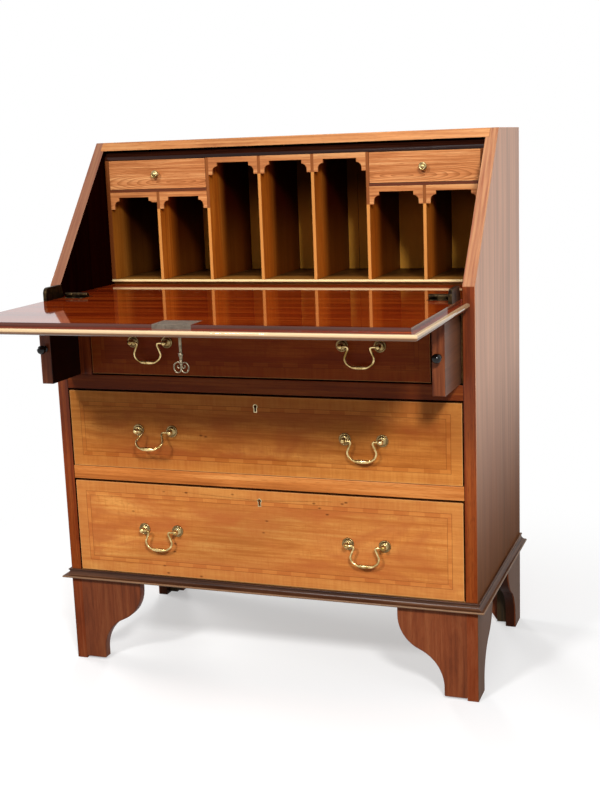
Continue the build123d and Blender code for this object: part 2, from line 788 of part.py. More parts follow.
def valance(number, head_z, broken):
    """A shaped fret across the head of a bay: tabs at the ends, a round shoulder, a step and a flat rail."""
    tab = valance_tab
    shoulder_z = -valance_drop + valance_tab_edge
    step_x = tab + valance_round
    step_z = shoulder_z + valance_round
    half = bay_width / 2
    left_half = make_face(
        [
            Line((-half, 0), (-half, -valance_drop)),
            Line((-half, -valance_drop), (tab - half, -valance_drop)),
            Line((tab - half, -valance_drop), (tab - half, shoulder_z)),
            TangentArc((tab - half, shoulder_z), (step_x - half, step_z), tangent=(0, 1)),
            Line((step_x - half, step_z), (step_x - half, -valance_rail)),
            Line((step_x - half, -valance_rail), (0, -valance_rail)),
            Line((0, -valance_rail), (0, 0)),
            Line((0, 0), (-half, 0)),
        ]
    )
    fret = front_profile(left_half, nest_setback, nest_setback + valance_thick)
    fret = fret + mirror(fret, about=Plane.YZ)
    if broken:
        missing = block(
            half - step_x - 1,
            half + 1,
            nest_setback - 1,
            nest_setback + valance_thick + 1,
            -valance_drop - 1,
            -broken_tab_drop,
        )
        fret = fret - missing
    return Pos(bay_x(number) + half, 0, head_z) * fret


# Nest: base on a bearer that is set back, ends, and a top bevelled to the slope; tall dividers for the
# middle bays; short ones and shelves at the ends
nest_base = block(-inner_x, inner_x, nest_setback, back_y, nest_base_under, nest_base_top)
nest_base = fillet(nest_base.edges().filter_by(Axis.X).group_by(Axis.Y)[0], nest_base_round)
nest_bearer = block(-inner_x, inner_x, nest_setback + nest_bearer_setback, back_y, flat_z, nest_base_under)
nest_top_z = nest_top_under + nest_top_thick
nest_top_face = Polygon(
    (nest_setback, nest_top_under),
    (nest_setback, nest_top_under + nest_top_edge),
    (nest_setback + (nest_top_thick - nest_top_edge) / tan(slope_angle), nest_top_z),
    (back_y, nest_top_z),
    (back_y, nest_top_under),
    align=None,
)
nest_top = side_profile(nest_top_face, -inner_x, inner_x)
nest_end = block(nest_inner_x, inner_x, nest_setback, back_y, nest_base_top, nest_top_under)
shelf_under = shelf_z - shelf_thick
short_dividers = (1, bay_count - 1)
dividers = []
for number in range(1, bay_count):
    head_z = shelf_under if number in short_dividers else nest_top_under
    x0 = divider_x(number)
    dividers.append(block(x0, x0 + divider_thick, nest_setback, back_y, nest_base_top, head_z))
right_shelf = block(
    divider_x(bay_count - 2) + divider_thick, nest_inner_x, nest_setback, back_y, shelf_under, shelf_z
)
under_shelf = (0, 1, bay_count - 2, bay_count - 1)
valances = [
    valance(number, shelf_under if number in under_shelf else nest_top_under, number == 0)
    for number in range(bay_count)
]
emit("nest_base", nest_base, nest_bearer)
emit("nest_top", nest_top)
emit("nest_ends", *both_hands(nest_end))
emit("nest_dividers", *dividers)
emit("nest_drawer_shelves", *both_hands(right_shelf))
emit("nest_valances", *valances)

# Small drawers over the outer bays, each with one turned knob
small_x0 = divider_x(bay_count - 2) + divider_thick + small_drawer_gap
small_x1 = nest_inner_x - small_drawer_gap
small_front_z0 = shelf_z + small_drawer_gap
small_front_z1 = nest_top_under - small_drawer_gap
small_tray_z0 = shelf_z + running_gap
small_tray_z1 = small_front_z1 - small_drawer_wall
small_box_y = nest_setback + small_drawer_front_thick
small_end_y = back_y - small_drawer_back_gap
small_front = block(small_x0, small_x1, nest_setback, small_box_y, small_front_z0, small_front_z1)
small_tray = block(small_x0, small_x1, small_box_y, small_end_y, small_tray_z0, small_tray_z1)
small_tray = small_tray - block(
    small_x0 + small_drawer_wall,
    small_x1 - small_drawer_wall,
    small_box_y,
    small_end_y - small_drawer_wall,
    small_tray_z0 + small_drawer_bottom,
    small_tray_z1,
)
small_knob = turned(
    [
        (0, 0),
        (small_knob_base_radius, 0),
        (small_knob_base_radius, -small_knob_edge),
        (small_knob_neck_radius, -2 * small_knob_edge),
        (small_knob_neck_radius, -small_knob_neck_length),
        (small_knob_radius, -small_knob_neck_length - 2 * small_knob_edge),
        (small_knob_radius, 2 * small_knob_edge - small_knob_reach),
        (small_knob_ring_radius, -small_knob_reach),
        (small_knob_ring_radius - small_knob_edge, small_knob_edge - small_knob_reach),
        (0, small_knob_edge / 2 - small_knob_reach),
    ]
)
small_knob = Pos((small_x0 + small_x1) / 2, nest_setback, (small_front_z0 + small_front_z1) / 2) * small_knob
small_drawer_pieces = zip(both_hands(small_front), both_hands(small_tray), both_hands(small_knob))
for side_name, pieces in zip(("right", "left"), small_drawer_pieces):
    emit(f"small_drawer_{side_name}_front", pieces[0])
    emit(f"small_drawer_{side_name}_tray", pieces[1])
    emit(f"small_drawer_{side_name}_knob", pieces[2])
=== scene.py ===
import bmesh
import bpy
import math
import numpy as np
from mathutils import Matrix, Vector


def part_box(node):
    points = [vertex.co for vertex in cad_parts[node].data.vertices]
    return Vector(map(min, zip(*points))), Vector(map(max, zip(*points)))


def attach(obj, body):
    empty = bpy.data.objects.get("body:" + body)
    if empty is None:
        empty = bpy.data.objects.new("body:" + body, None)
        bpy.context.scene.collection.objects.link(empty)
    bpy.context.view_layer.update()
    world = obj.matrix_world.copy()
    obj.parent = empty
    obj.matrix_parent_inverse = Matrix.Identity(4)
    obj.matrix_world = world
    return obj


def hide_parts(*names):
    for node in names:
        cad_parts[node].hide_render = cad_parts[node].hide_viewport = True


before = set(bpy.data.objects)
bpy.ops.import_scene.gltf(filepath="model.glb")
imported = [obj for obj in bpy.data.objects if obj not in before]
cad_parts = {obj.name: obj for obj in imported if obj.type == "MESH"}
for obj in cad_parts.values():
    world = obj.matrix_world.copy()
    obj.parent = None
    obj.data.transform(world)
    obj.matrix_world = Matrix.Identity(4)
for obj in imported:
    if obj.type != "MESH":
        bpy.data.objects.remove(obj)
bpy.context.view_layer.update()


# Sides
# Two mahogany boards with upright grain, planed, stained and french polished. The rails, the flat and
# the bottom are housed across their inner faces, and their sloped edges carry the shut fall.

def linear(colour):
    """An sRGB hex colour as linear light: a straight toe, and a 2.4 power of the offset value above it."""
    part = np.array([int(colour[start:start + 2], 16) for start in (1, 3, 5)]) / 255
    curve = np.where(part <= 0.04045, part / 12.92, ((part + 0.055) / 1.055) ** 2.4)
    return (*curve.tolist(), 1.0)


def add(tree, kind, settings=None, links=None):
    """Adds one shader node with its settings, and links or sets its inputs by name or number.

    A node given as an input stands for its first live output. One word as settings is the operation. Stops
    are a colour ramp's places and colours. A span is the range that a map takes in and the range that it
    gives out, which is 0 to 1 if left out.
    """
    made = tree.nodes.new("ShaderNode" + kind)
    if isinstance(settings, str):
        settings = {"operation": settings}
    for key, value in (settings or {}).items():
        if key == "stops":
            ramp = made.color_ramp.elements
            while len(ramp) < len(value):
                ramp.new(1.0)
            for stop, (place, colour) in zip(ramp, value):
                stop.position = place
                stop.color = linear(colour)
        elif key == "span":
            for name, number in zip(("From Min", "From Max", "To Min", "To Max"), value):
                made.inputs[name].default_value = number
        else:
            setattr(made, key, value)
    for key, value in (links or {}).items():
        live = [socket for socket in made.inputs if socket.enabled]
        socket = live[key] if isinstance(key, int) else next(s for s in live if s.name == key)
        if isinstance(value, bpy.types.Node):
            value = next(s for s in value.outputs if s.enabled)
        if isinstance(value, bpy.types.NodeSocket):
            tree.links.new(value, socket)
        else:
            socket.default_value = value
    return made


def streaks(tree, along, long_mm, wide_mm, detail, wobble):
    """Noise on Object coordinates, stretched: a streak is long_mm along the grain and wide_mm across."""
    scale = [1000 / wide_mm] * 3
    scale["XYZ".index(along)] = 1000 / long_mm
    place = add(tree, "TexCoord").outputs["Object"]
    stretched = add(tree, "Mapping", None, {"Vector": place, "Scale": scale})
    noise = {"Vector": stretched, "Scale": 1.0, "Detail": detail, "Roughness": 0.6, "Distortion": wobble}
    return add(tree, "TexNoise", None, noise)


def blank(name):
    """A new material, and its emptied node tree."""
    material = bpy.data.materials.new(name)
    material.use_nodes = True
    material.node_tree.nodes.clear()
    return material, material.node_tree


def polished_wood(
    name, along, dark, mid, light, roughness, ior, figure_mm=(460, 30), polish=0.0, polish_rough=0.05
):
    """Wood under a finish: broad figure and fine lines follow the grain, and pores are short dark dashes.

    The finish lies smooth between the pores and sinks over them, and its gloss wanders a little from place
    to place. Pores are drawn 1.2 mm wide, several times their real width, so that they show. A built-up
    polish is a clear coat that has all the gloss.
    """
    material, tree = blank(name)
    figure = streaks(tree, along, *figure_mm, 5.0, 0.9)
    lines = streaks(tree, along, 420, 4.5, 3.0, 0.3)
    pores = streaks(tree, along, 17, 1.2, 1.0, 0.0)
    patches = streaks(tree, along, 420, 210, 2.0, 0.4)
    grain = add(tree, "Mix", {"data_type": "FLOAT"}, {"Factor": 0.4, "A": figure, "B": lines})
    ramp = add(tree, "ValToRGB", {"stops": [(0.36, dark), (0.5, mid), (0.64, light)]}, {"Fac": grain})
    value = add(tree, "MapRange", {"span": (0.3, 0.7, 0.84, 1.14)}, {"Value": patches})
    toned = add(tree, "HueSaturation", None, {"Value": value, "Color": ramp})
    pore = add(tree, "MapRange", {"span": (0.56, 0.70, 0.0, 0.45)}, {"Value": pores})
    colour = add(tree, "Mix", {"data_type": "RGBA"}, {"Factor": pore, "A": toned, "B": linear(dark)})
    gloss_span = (0.3, 0.7, roughness + 0.05, roughness - 0.05)
    gloss = add(tree, "MapRange", {"span": gloss_span}, {"Value": patches})
    sunk = add(tree, "Bump", {"invert": True}, {"Strength": 0.25, "Distance": 0.0003, "Height": pore})
    surface = {"Base Color": colour, "Roughness": gloss, "IOR": ior, "Normal": sunk}
    shader = add(tree, "BsdfPrincipled", {"name": "finish"}, surface)
    if polish:
        shader.inputs["Specular IOR Level"].default_value = 0.0
        shader.inputs["Coat Weight"].default_value = polish
        shader.inputs["Coat Roughness"].default_value = polish_rough
    add(tree, "OutputMaterial", None, {"Surface": shader})
    return material


def dress(names, material, eased_mm=0.0):
    """Gives CAD pieces their finish and eases their sharp edges.

    The loose triangles are welded, and each edge that turns by more than 35 degrees is rounded by eased_mm.
    """
    for name in names:
        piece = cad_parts[name]
        for slot in piece.material_slots:
            slot.material = material
        if eased_mm:
            weld = piece.modifiers.new("weld", "WELD")
            weld.merge_threshold = 1e-5
            ease = piece.modifiers.new("eased_edges", "BEVEL")
            ease.width = eased_mm / 1000
            ease.segments = 2
            ease.limit_method = "ANGLE"
            ease.angle_limit = math.radians(35)


def place_in(material):
    """A material's node tree, and the x, y and z of its Object coordinates."""
    tree = material.node_tree
    split = add(tree, "SeparateXYZ", None, {"Vector": add(tree, "TexCoord").outputs["Object"]})
    return tree, split.outputs["X"], split.outputs["Y"], split.outputs["Z"]


def lay_over(material, shares, ink, blend="MIX"):
    """Lays a colour over a finish by the product of shares, each from 0, none of it, to 1."""
    tree = material.node_tree
    finish = tree.nodes["finish"]
    ground = finish.inputs["Base Color"].links[0].from_socket
    share = shares[0]
    for other in shares[1:]:
        share = add(tree, "Math", "MULTIPLY", {0: share, 1: other})
    colour = linear(ink) if isinstance(ink, str) else ink
    mixing = {"data_type": "RGBA", "blend_type": blend}
    laid = add(tree, "Mix", mixing, {"Factor": share, "A": ground, "B": colour})
    tree.links.new(next(s for s in laid.outputs if s.enabled), finish.inputs["Base Color"])


# French polish over stained mahogany: a red-brown ground with a soft pale sheen at a low angle. The outer
# faces are painted paler towards the top as painted light, and darker near the floor as painted shade. The
# sloped edges are rubbed to gold, the left one painted darker as painted shade, and the inner faces are
# painted dark as painted shade.
side_wood = polished_wood("french_polished_mahogany_sides", "Z", "#4e1c08", "#7c3413", "#984c1e", 0.32, 1.34)
side_low, side_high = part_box("side_right")
side_skin = 0.0007
pale_top_z = (0.15, 0.56)
dark_low_z = (0.2, 0.6)
sheen_z = (0.2, 0.66)
tree, x, y, z = place_in(side_wood)
side_out = add(tree, "Math", "ABSOLUTE", {0: x})
outer_face = add(tree, "Math", "GREATER_THAN", {0: side_out, 1: side_high.x - side_skin})
inner_face = add(tree, "Math", "LESS_THAN", {0: side_out, 1: side_low.x + side_skin})
# Painted light: the outer faces are painted paler towards the top, with the grain streaks.
painted_pale_top = add(tree, "MapRange", {"span": (*pale_top_z, 0.1, 0.88)}, {"Value": z})
side_bands = streaks(tree, "Z", 420, 24, 1.5, 0.6)
side_lines = add(tree, "MapRange", {"span": (0.32, 0.68, 0.78, 1.14)}, {"Value": side_bands})
lay_over(side_wood, [outer_face, painted_pale_top, side_lines], "#efb088")

slope_foot_z = 0.736
slope_run = 0.214
slope_skin = 0.0012
slope_rise = side_high.z - slope_foot_z
slope_out = np.array([0, -slope_rise, slope_run]) / math.hypot(slope_rise, slope_run)
slope_up = np.array([0, slope_run, slope_rise]) / math.hypot(slope_rise, slope_run)
slope_at = float(slope_out @ [0, side_low.y, slope_foot_z])
side_at = add(tree, "TexCoord").outputs["Object"]
slope_height = add(tree, "VectorMath", "DOT_PRODUCT", {0: side_at, 1: slope_out.tolist()})
slope_span = (slope_at - slope_skin, slope_at - slope_skin / 2)
slope_edge = add(tree, "MapRange", {"span": slope_span}, {"Value": slope_height.outputs["Value"]})
slope_share = 0.8
lay_over(side_wood, [slope_edge, slope_share], "#945634")
# The rubbed lines run up the slope.
rub_long_mm = 130
rub_wide_mm = 4.5
rub_scale = (1000 / rub_long_mm, 1000 / rub_wide_mm, 1.0)
slope_along = add(tree, "VectorMath", "DOT_PRODUCT", {0: side_at, 1: slope_up.tolist()})
slope_point = add(tree, "CombineXYZ", None, {"X": slope_along.outputs["Value"], "Y": x})
slope_point = add(tree, "Mapping", None, {"Vector": slope_point, "Scale": rub_scale})
slope_lines = add(tree, "TexNoise", None, {"Vector": slope_point, "Scale": 1.0, "Detail": 3.0})
slope_rub = add(tree, "MapRange", {"span": (0.32, 0.68, 0.0, 0.6)}, {"Value": slope_lines})
lay_over(side_wood, [slope_edge, slope_rub], "#cc9464")
# Painted shade: the left slope edge is painted darker.
left_side = add(tree, "Math", "LESS_THAN", {0: x, 1: 0.0})
lay_over(side_wood, [slope_edge, slope_share, left_side, 0.75], "#6c463a")

# Painted shade: the inner faces are painted dark.
lay_over(side_wood, [inner_face], "#33201d", "MULTIPLY")
# Painted shade: the outer faces are painted darker towards the floor.
painted_dark_low = add(tree, "MapRange", {"span": (*dark_low_z, 0.7, 0.0)}, {"Value": z})
lay_over(side_wood, [outer_face, painted_dark_low], "#6e4828")
rising = {"interpolation_type": "SMOOTHSTEP"}
sheen = add(tree, "MapRange", {**rising, "span": (*sheen_z, 0.1, 0.8)}, {"Value": z})
not_inner = add(tree, "Math", "SUBTRACT", {0: 1.0, 1: inner_face})
sheen = add(tree, "Math", "MULTIPLY", {0: sheen, 1: not_inner})
side_finish = tree.nodes["finish"]
side_finish.inputs["Specular IOR Level"].default_value = 0.0
side_finish.inputs["Coat Roughness"].default_value = 0.32
side_finish.inputs["Coat IOR"].default_value = 1.4
tree.links.new(sheen.outputs[0], side_finish.inputs["Coat Weight"])
dress(["side_left", "side_right"], side_wood, 1.0)


# Top, flat, rails and partitions
# Mahogany boards across the carcass, housed in the sides, and two upright partitions beside the lopers.
# The top's front edge is bevelled to the slope, and the rails divide the drawers.

# The upper rail is painted darker than the lower rail as painted shade under the fall, and its top behind
# the front arris is painted black as painted shade under the top drawer.
shaded_upper_rail_wood = polished_wood(
    "french_polished_mahogany_upper_rail_painted_shade", "X", "#5e220a", "#7a3612", "#965022", 0.34, 1.2
)
rail_low, rail_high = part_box("drawer_rail_upper")
rail_skin = 0.0008
rail_arris = 0.0012
tree, x, y, z = place_in(shaded_upper_rail_wood)
rail_top = add(tree, "Math", "GREATER_THAN", {0: z, 1: rail_high.z - rail_skin})
rail_behind = add(tree, "Math", "GREATER_THAN", {0: y, 1: rail_low.y + rail_arris})
lay_over(shaded_upper_rail_wood, [rail_top, rail_behind], "#140804")
# Light has faded the lower rail and the top to gold. The flat has the red stain and bright polish of the
# fall, and the partitions the plain stain of the sides.
lower_rail_wood = polished_wood("faded_mahogany_lower_rail", "X", "#a0561f", "#c97837", "#e29650", 0.34, 1.25)
top_wood = polished_wood(
    "french_polished_mahogany_top", "X", "#8a4c26", "#bc7c48", "#d6a06a", 0.30, 1.35, (460, 30), 0.4, 0.3
)
flat_wood = polished_wood(
    "french_polished_mahogany_flat", "X", "#561606", "#862a0a", "#a84a14", 0.34, 1.4, (620, 26), 1.0
)
partition_wood = polished_wood(
    "french_polished_mahogany_partitions", "Z", "#4e1c08", "#7c3413", "#984c1e", 0.34, 1.25
)
dress(["drawer_rail_upper"], shaded_upper_rail_wood, 0.8)
dress(["drawer_rail_lower"], lower_rail_wood, 0.8)
dress(["top_board"], top_wood, 0.8)
dress(["writing_flat"], flat_wood, 0.8)
dress(["loper_partitions"], partition_wood, 0.6)


# Back, bottom and runners
# Pine boards, sawn and left bare outside. The back's inner face is stained golden brown where it shows in
# the pigeonholes, and loose tongues close its joints. They are nailed and glued in place.

def skin(name, patches, material, sharp_deg=40):
    """One mesh from grids of points: neighbours in a grid make a face, and points that coincide are merged.

    Merging closes seams and poles. Faces are then turned outwards and shaded smooth below sharp_deg.
    """
    points, faces, count = [], [], 0
    for patch in patches:
        rows, columns = patch.shape[:2]
        number = count + np.arange(rows * columns).reshape(rows, columns)
        corners = [number[:-1, :-1], number[:-1, 1:], number[1:, 1:], number[1:, :-1]]
        faces.append(np.stack(corners, axis=-1).reshape(-1, 4))
        points.append(patch.reshape(-1, 3))
        count += rows * columns
    mesh = bpy.data.meshes.new(name)
    mesh.from_pydata(np.concatenate(points).tolist(), [], np.concatenate(faces).tolist())
    build = bmesh.new()
    build.from_mesh(mesh)
    bmesh.ops.remove_doubles(build, verts=build.verts, dist=2e-6)
    bmesh.ops.dissolve_degenerate(build, edges=build.edges, dist=1e-7)
    bmesh.ops.recalc_face_normals(build, faces=build.faces)
    build.to_mesh(mesh)
    build.free()
    mesh.polygons.foreach_set("use_smooth", np.ones(len(mesh.polygons), bool))
    mesh.set_sharp_from_angle(angle=math.radians(sharp_deg))
    mesh.materials.append(material)
    piece = bpy.data.objects.new(name, mesh)
    bpy.context.scene.collection.objects.link(piece)
    return piece


# Bare pine: brown with age and dull, with soft lines. Each board of the back has its own tone.
bare_pine = polished_wood("sawn_pine_aged", "Z", "#75502c", "#9a7044", "#b68c5c", 0.68, 1.2, (520, 16))
level_pine = polished_wood("planed_pine_aged", "X", "#7a5227", "#a3773f", "#bf965a", 0.62, 1.45, (520, 16))
runner_pine = polished_wood("planed_pine_runner", "Y", "#7a5227", "#a3773f", "#bf965a", 0.55, 1.45, (300, 14))
boards_low, boards_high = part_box("back_boards")
board_count = 5
board_gap = 0.0008
stain_deep = 0.001
bay_shade_z = (0.81, 0.91)
board_pitch = (boards_high.x - boards_low.x + board_gap) / board_count
tree, x, y, z = place_in(bare_pine)
board_shift = add(tree, "Math", "SUBTRACT", {0: x, 1: boards_low.x})
board_step = add(tree, "Math", "DIVIDE", {0: board_shift, 1: board_pitch})
board_number = add(tree, "Math", "FLOOR", {0: board_step})
board_draw = add(tree, "TexWhiteNoise", {"noise_dimensions": "1D"}, {"W": board_number})
lay_over(bare_pine, [board_draw, 0.55], "#84562e")
stained_face = add(tree, "Math", "LESS_THAN", {0: y, 1: boards_low.y + stain_deep})
lay_over(bare_pine, [stained_face, 0.88], "#f0a63a")
# The heads of the pigeonholes are painted darker on the back's inner face as painted shade.
bay_head_shade = add(tree, "MapRange", {**rising, "span": (*bay_shade_z, 0.0, 0.9)}, {"Value": z})
lay_over(bare_pine, [bay_head_shade, stained_face], "#2a1206", "MULTIPLY")
dress(["back_boards"], bare_pine, 0.8)
dress(["bottom_board"], level_pine, 0.6)
dress(["drawer_runners"], runner_pine, 0.6)

tongue_half_width = 0.003
tongue_half_thick = 0.0015
tongue_short = 0.001


def tongue(joint_x):
    """A loose tongue in a joint of the back: a rectangle carried straight up, with a flat cap at each end."""
    across = joint_x + tongue_half_width * np.array([-1, 1, 1, -1, -1])
    deep = (boards_low.y + boards_high.y) / 2 + tongue_half_thick * np.array([-1, -1, 1, 1, -1])
    up = np.array([[boards_low.z + tongue_short], [boards_high.z - tongue_short]])
    wall = np.stack([across + 0 * up, deep + 0 * up, up + 0 * across], axis=-1)
    return [wall, wall[0, [0, 1, 3, 2]].reshape(2, 2, 3), wall[1, [0, 1, 3, 2]].reshape(2, 2, 3)]


joints = boards_low.x + board_pitch * np.arange(1, board_count) - board_gap / 2
tongues = skin("back_board_tongues", [grid for joint in joints for grid in tongue(joint)], bare_pine)
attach(tongues, "carcass")


# Base moulding and feet
# A run mahogany moulding mitred round the carcass, on bracket feet sawn to an ogee. The brackets are
# glued to softwood blocks behind, and their edges are worn round by use.

# Dark stain under a soft polish: a dull gleam along each member, and outer edges rubbed pale.
moulding_wood = polished_wood(
    "polished_mahogany_moulding", "X", "#2e160a", "#50301e", "#745038", 0.34, 1.4, (300, 9), 0.4, 0.25
)


def turn_grain(material, where):
    """Swaps x and y in a wood's patterns where a mask is 1, so that the grain runs along the other length."""
    tree, x, y, z = place_in(material)
    at = add(tree, "TexCoord").outputs["Object"]
    swapped = add(tree, "CombineXYZ", None, {"X": y, "Y": x, "Z": z})
    along = add(tree, "Mix", {"data_type": "VECTOR"}, {"Factor": where, "A": at, "B": swapped})
    for node in [node for node in tree.nodes if node.bl_idname == "ShaderNodeMapping"]:
        tree.links.new(next(s for s in along.outputs if s.enabled), node.inputs["Vector"])


# The grain runs with each length. The side lengths lie beyond the mitre, where |x| + y passes its line.
tree, x, y, z = place_in(moulding_wood)
moulding_out = add(tree, "Math", "ABSOLUTE", {0: x})
mitre = add(tree, "Math", "ADD", {0: moulding_out, 1: y})
past_mitre = add(tree, "Math", "GREATER_THAN", {0: mitre, 1: side_high.x + side_low.y})
turn_grain(moulding_wood, past_mitre)
moulding_low, moulding_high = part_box("base_moulding")
moulding_arris = (0.0006, 0.0022)
moulding_front = add(tree, "Math", "SUBTRACT", {0: y, 1: moulding_low.y})
moulding_side = add(tree, "Math", "SUBTRACT", {0: moulding_high.x, 1: moulding_out})
moulding_reach = add(tree, "Math", "MINIMUM", {0: moulding_front, 1: moulding_side})
moulding_rub = add(tree, "MapRange", {"span": (*moulding_arris, 0.4, 0.0)}, {"Value": moulding_reach})
lay_over(moulding_wood, [moulding_rub], "#b08a66")
# The feet are dull red-brown, and their outer side faces are painted a darker olive brown.
front_foot_wood = polished_wood(
    "polished_mahogany_front_feet", "Z", "#5a2a14", "#74391d", "#844a2a", 0.46, 1.25, (160, 24)
)
side_foot_wood = polished_wood(
    "polished_mahogany_side_feet", "Z", "#642c16", "#7a381c", "#88482a", 0.5, 1.15, (160, 24)
)
foot_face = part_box("foot_brackets_side")[1].x
foot_skin = 0.0008
back_feet_y = 0.1
back_foot_shade_span = (foot_face - 0.003, foot_face - 0.0015, 0.85, 0.0)
tree, x, y, z = place_in(side_foot_wood)
foot_out = add(tree, "Math", "ABSOLUTE", {0: x})
foot_side = add(tree, "Math", "GREATER_THAN", {0: foot_out, 1: foot_face - foot_skin})
lay_over(side_foot_wood, [foot_side, 0.7], "#4e3a20")
# The sawn edges of the back feet are painted black as painted shade.
foot_behind = add(tree, "Math", "GREATER_THAN", {0: y, 1: back_feet_y})
back_foot_shade = add(tree, "MapRange", {"span": back_foot_shade_span}, {"Value": foot_out})
lay_over(side_foot_wood, [back_foot_shade, foot_behind], "#170c07")
# Softwood under the desk, painted dark grey-brown as painted shade.
shaded_block_wood = polished_wood("pine_blocks_painted_shade", "Z", "#1e1509", "#33240f", "#4a361c", 0.7, 1.3, (200, 16))
dress(["base_moulding"], moulding_wood)
dress(["foot_brackets_front"], front_foot_wood, 2.0)
dress(["foot_brackets_side"], side_foot_wood, 2.4)
dress(["foot_brackets_back"], front_foot_wood, 0.8)
dress(["foot_blocks"], shaded_block_wood, 0.8)


# Nest of pigeonholes
# Thin waxed boards of lighter wood: base, ends, dividers and two shelves under a dark top, with fretted
# valances glued across the heads of the bays. The front edges of the dividers and the base are painted pale
# as painted highlights, and the bays are painted darker deep in and at their heads as painted shade.

# Wax on golden wood: a low gloss, and orange-brown in the open. Ends and shelves have dark front edges.
nest_upright = polished_wood(
    "waxed_mahogany_dividers", "Z", "#a04e10", "#c0661a", "#d27c2a", 0.42, 1.2, (340, 30)
)
nest_level = polished_wood(
    "waxed_mahogany_valances", "X", "#8c4e26", "#ba7642", "#d49a62", 0.42, 1.3, (340, 14)
)
nest_floor = polished_wood("waxed_nest_base", "X", "#6a4014", "#8c5c24", "#a67634", 0.5, 1.2, (340, 14))
nest_end_wood = polished_wood(
    "waxed_mahogany_nest_ends", "Z", "#8e4e14", "#a8641e", "#bc782e", 0.42, 1.2, (340, 30)
)
nest_shelf = polished_wood(
    "waxed_mahogany_nest_shelves", "X", "#6e3a0e", "#9c5e20", "#bc7e38", 0.42, 1.3, (340, 20)
)
# A dark polished edge under the top, bright where it turns to the light.
nest_head = polished_wood(
    "ebonised_nest_top", "X", "#120604", "#220c06", "#34170c", 0.24, 1.4, (340, 14), 0.4
)
nest_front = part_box("nest_dividers")[0].y
bay_shade_depth = (nest_front + 0.03, nest_front + 0.085)
bay_shade_head_z = (0.72, 0.88)
# Painted highlight: the front edges of the dividers and the base are painted pale.
for piece, material, depth_mm, share, ink in (
    ("nest_dividers", nest_upright, 1.2, 0.5, "#d9a35c"),
    ("nest_ends", nest_end_wood, 1.2, 0.85, "#5e2c14"),
    ("nest_drawer_shelves", nest_shelf, 1.2, 0.9, "#54200c"),
    ("nest_base", nest_floor, 2.2, 0.92, "#f2d8a0"),
):
    dress([piece], material, 0.6)
    tree, x, y, z = place_in(material)
    edge_span = (nest_front + depth_mm / 2000, nest_front + depth_mm / 1000, share, 0.0)
    front_edge = add(tree, "MapRange", {"span": edge_span}, {"Value": y})
    lay_over(material, [front_edge], ink)
    # Deep in the bays and at their heads the wax is painted darker as painted shade.
    deep = add(tree, "MapRange", {**rising, "span": bay_shade_depth}, {"Value": y})
    head = add(tree, "MapRange", {**rising, "span": (*bay_shade_head_z, 0.8, 1.0)}, {"Value": z})
    lay_over(material, [deep, head], "#421806", "MULTIPLY")
# Between the valances and beside the small drawers the dividers' front edges are painted brown, without the
# painted highlight.
valance_drop = 0.033
divider_reach = 0.0085
divider_skin = 0.0008
tall_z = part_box("nest_dividers")[1].z - valance_drop
short_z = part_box("nest_valances")[0].z
drawers_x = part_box("small_drawer_right_front")[0].x - divider_reach
tree, x, y, z = place_in(nest_upright)
divider_out = add(tree, "Math", "ABSOLUTE", {0: x})
divider_edge = add(tree, "Math", "LESS_THAN", {0: y, 1: nest_front + divider_skin})
by_drawers = add(tree, "Math", "GREATER_THAN", {0: divider_out, 1: drawers_x})
over_tall = add(tree, "Math", "GREATER_THAN", {0: z, 1: tall_z})
over_short = add(tree, "Math", "GREATER_THAN", {0: z, 1: short_z})
by_short = add(tree, "Math", "MULTIPLY", {0: by_drawers, 1: over_short})
by_valance = add(tree, "Math", "MAXIMUM", {0: by_short, 1: over_tall})
lay_over(nest_upright, [by_valance, divider_edge, 0.9], "#7c4220")
dress(["nest_top"], nest_head, 1.6)
dress(["nest_valances"], nest_level, 0.5)


# Small drawers
# Two shallow drawers at the head of the nest, with fronts in flame-figured wood and thin trays behind.
# Each has one turned brass knob.

# Waxed flame figure: growth rings cut at a slant, in dark ovals eight times as long as they are high and
# about 2.6 mm apart. The trays are plain and pale.
flame_front = polished_wood(
    "waxed_flame_figured_fronts", "X", "#9a582c", "#c27c48", "#dda068", 0.38, 1.25, (150, 5)
)
tray_wood = polished_wood(
    "thin_planed_drawer_lining", "Y", "#8a5a28", "#b98a4e", "#d2aa70", 0.58, 1.45, (300, 12)
)
flame_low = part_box("small_drawer_right_front")[0]
flame_centre = (flame_low.x + 0.062, 0.0, flame_low.z + 0.012)
ring_mm = 2.6
ring_stretch = 8
ring_scale = (1000 / (ring_mm * ring_stretch), 0.0, 1000 / ring_mm)
one_ring = 0.314
tree, x, y, z = place_in(flame_front)
flame_out = add(tree, "Math", "ABSOLUTE", {0: x})
flame_point = add(tree, "CombineXYZ", None, {"X": flame_out, "Z": z})
flame_shift = [-middle * size for middle, size in zip(flame_centre, ring_scale)]
flame_place = {"Vector": flame_point, "Location": flame_shift, "Scale": ring_scale}
flame_map = add(tree, "Mapping", None, flame_place)
ring_kind = {"wave_type": "RINGS", "rings_direction": "Y", "wave_profile": "SAW"}
ring_form = {"Vector": flame_map, "Scale": one_ring, "Distortion": 7.0, "Detail": 4.0, "Detail Scale": 0.3}
rings = add(tree, "TexWave", ring_kind, ring_form)
late_wood = add(tree, "MapRange", {"span": (0.45, 1.0, 0.0, 0.7)}, {"Value": rings})
lay_over(flame_front, [late_wood], "#84461c")
dress(["small_drawer_left_front", "small_drawer_right_front"], flame_front, 0.6)
dress(["small_drawer_left_tray", "small_drawer_right_tray"], tray_wood, 0.4)


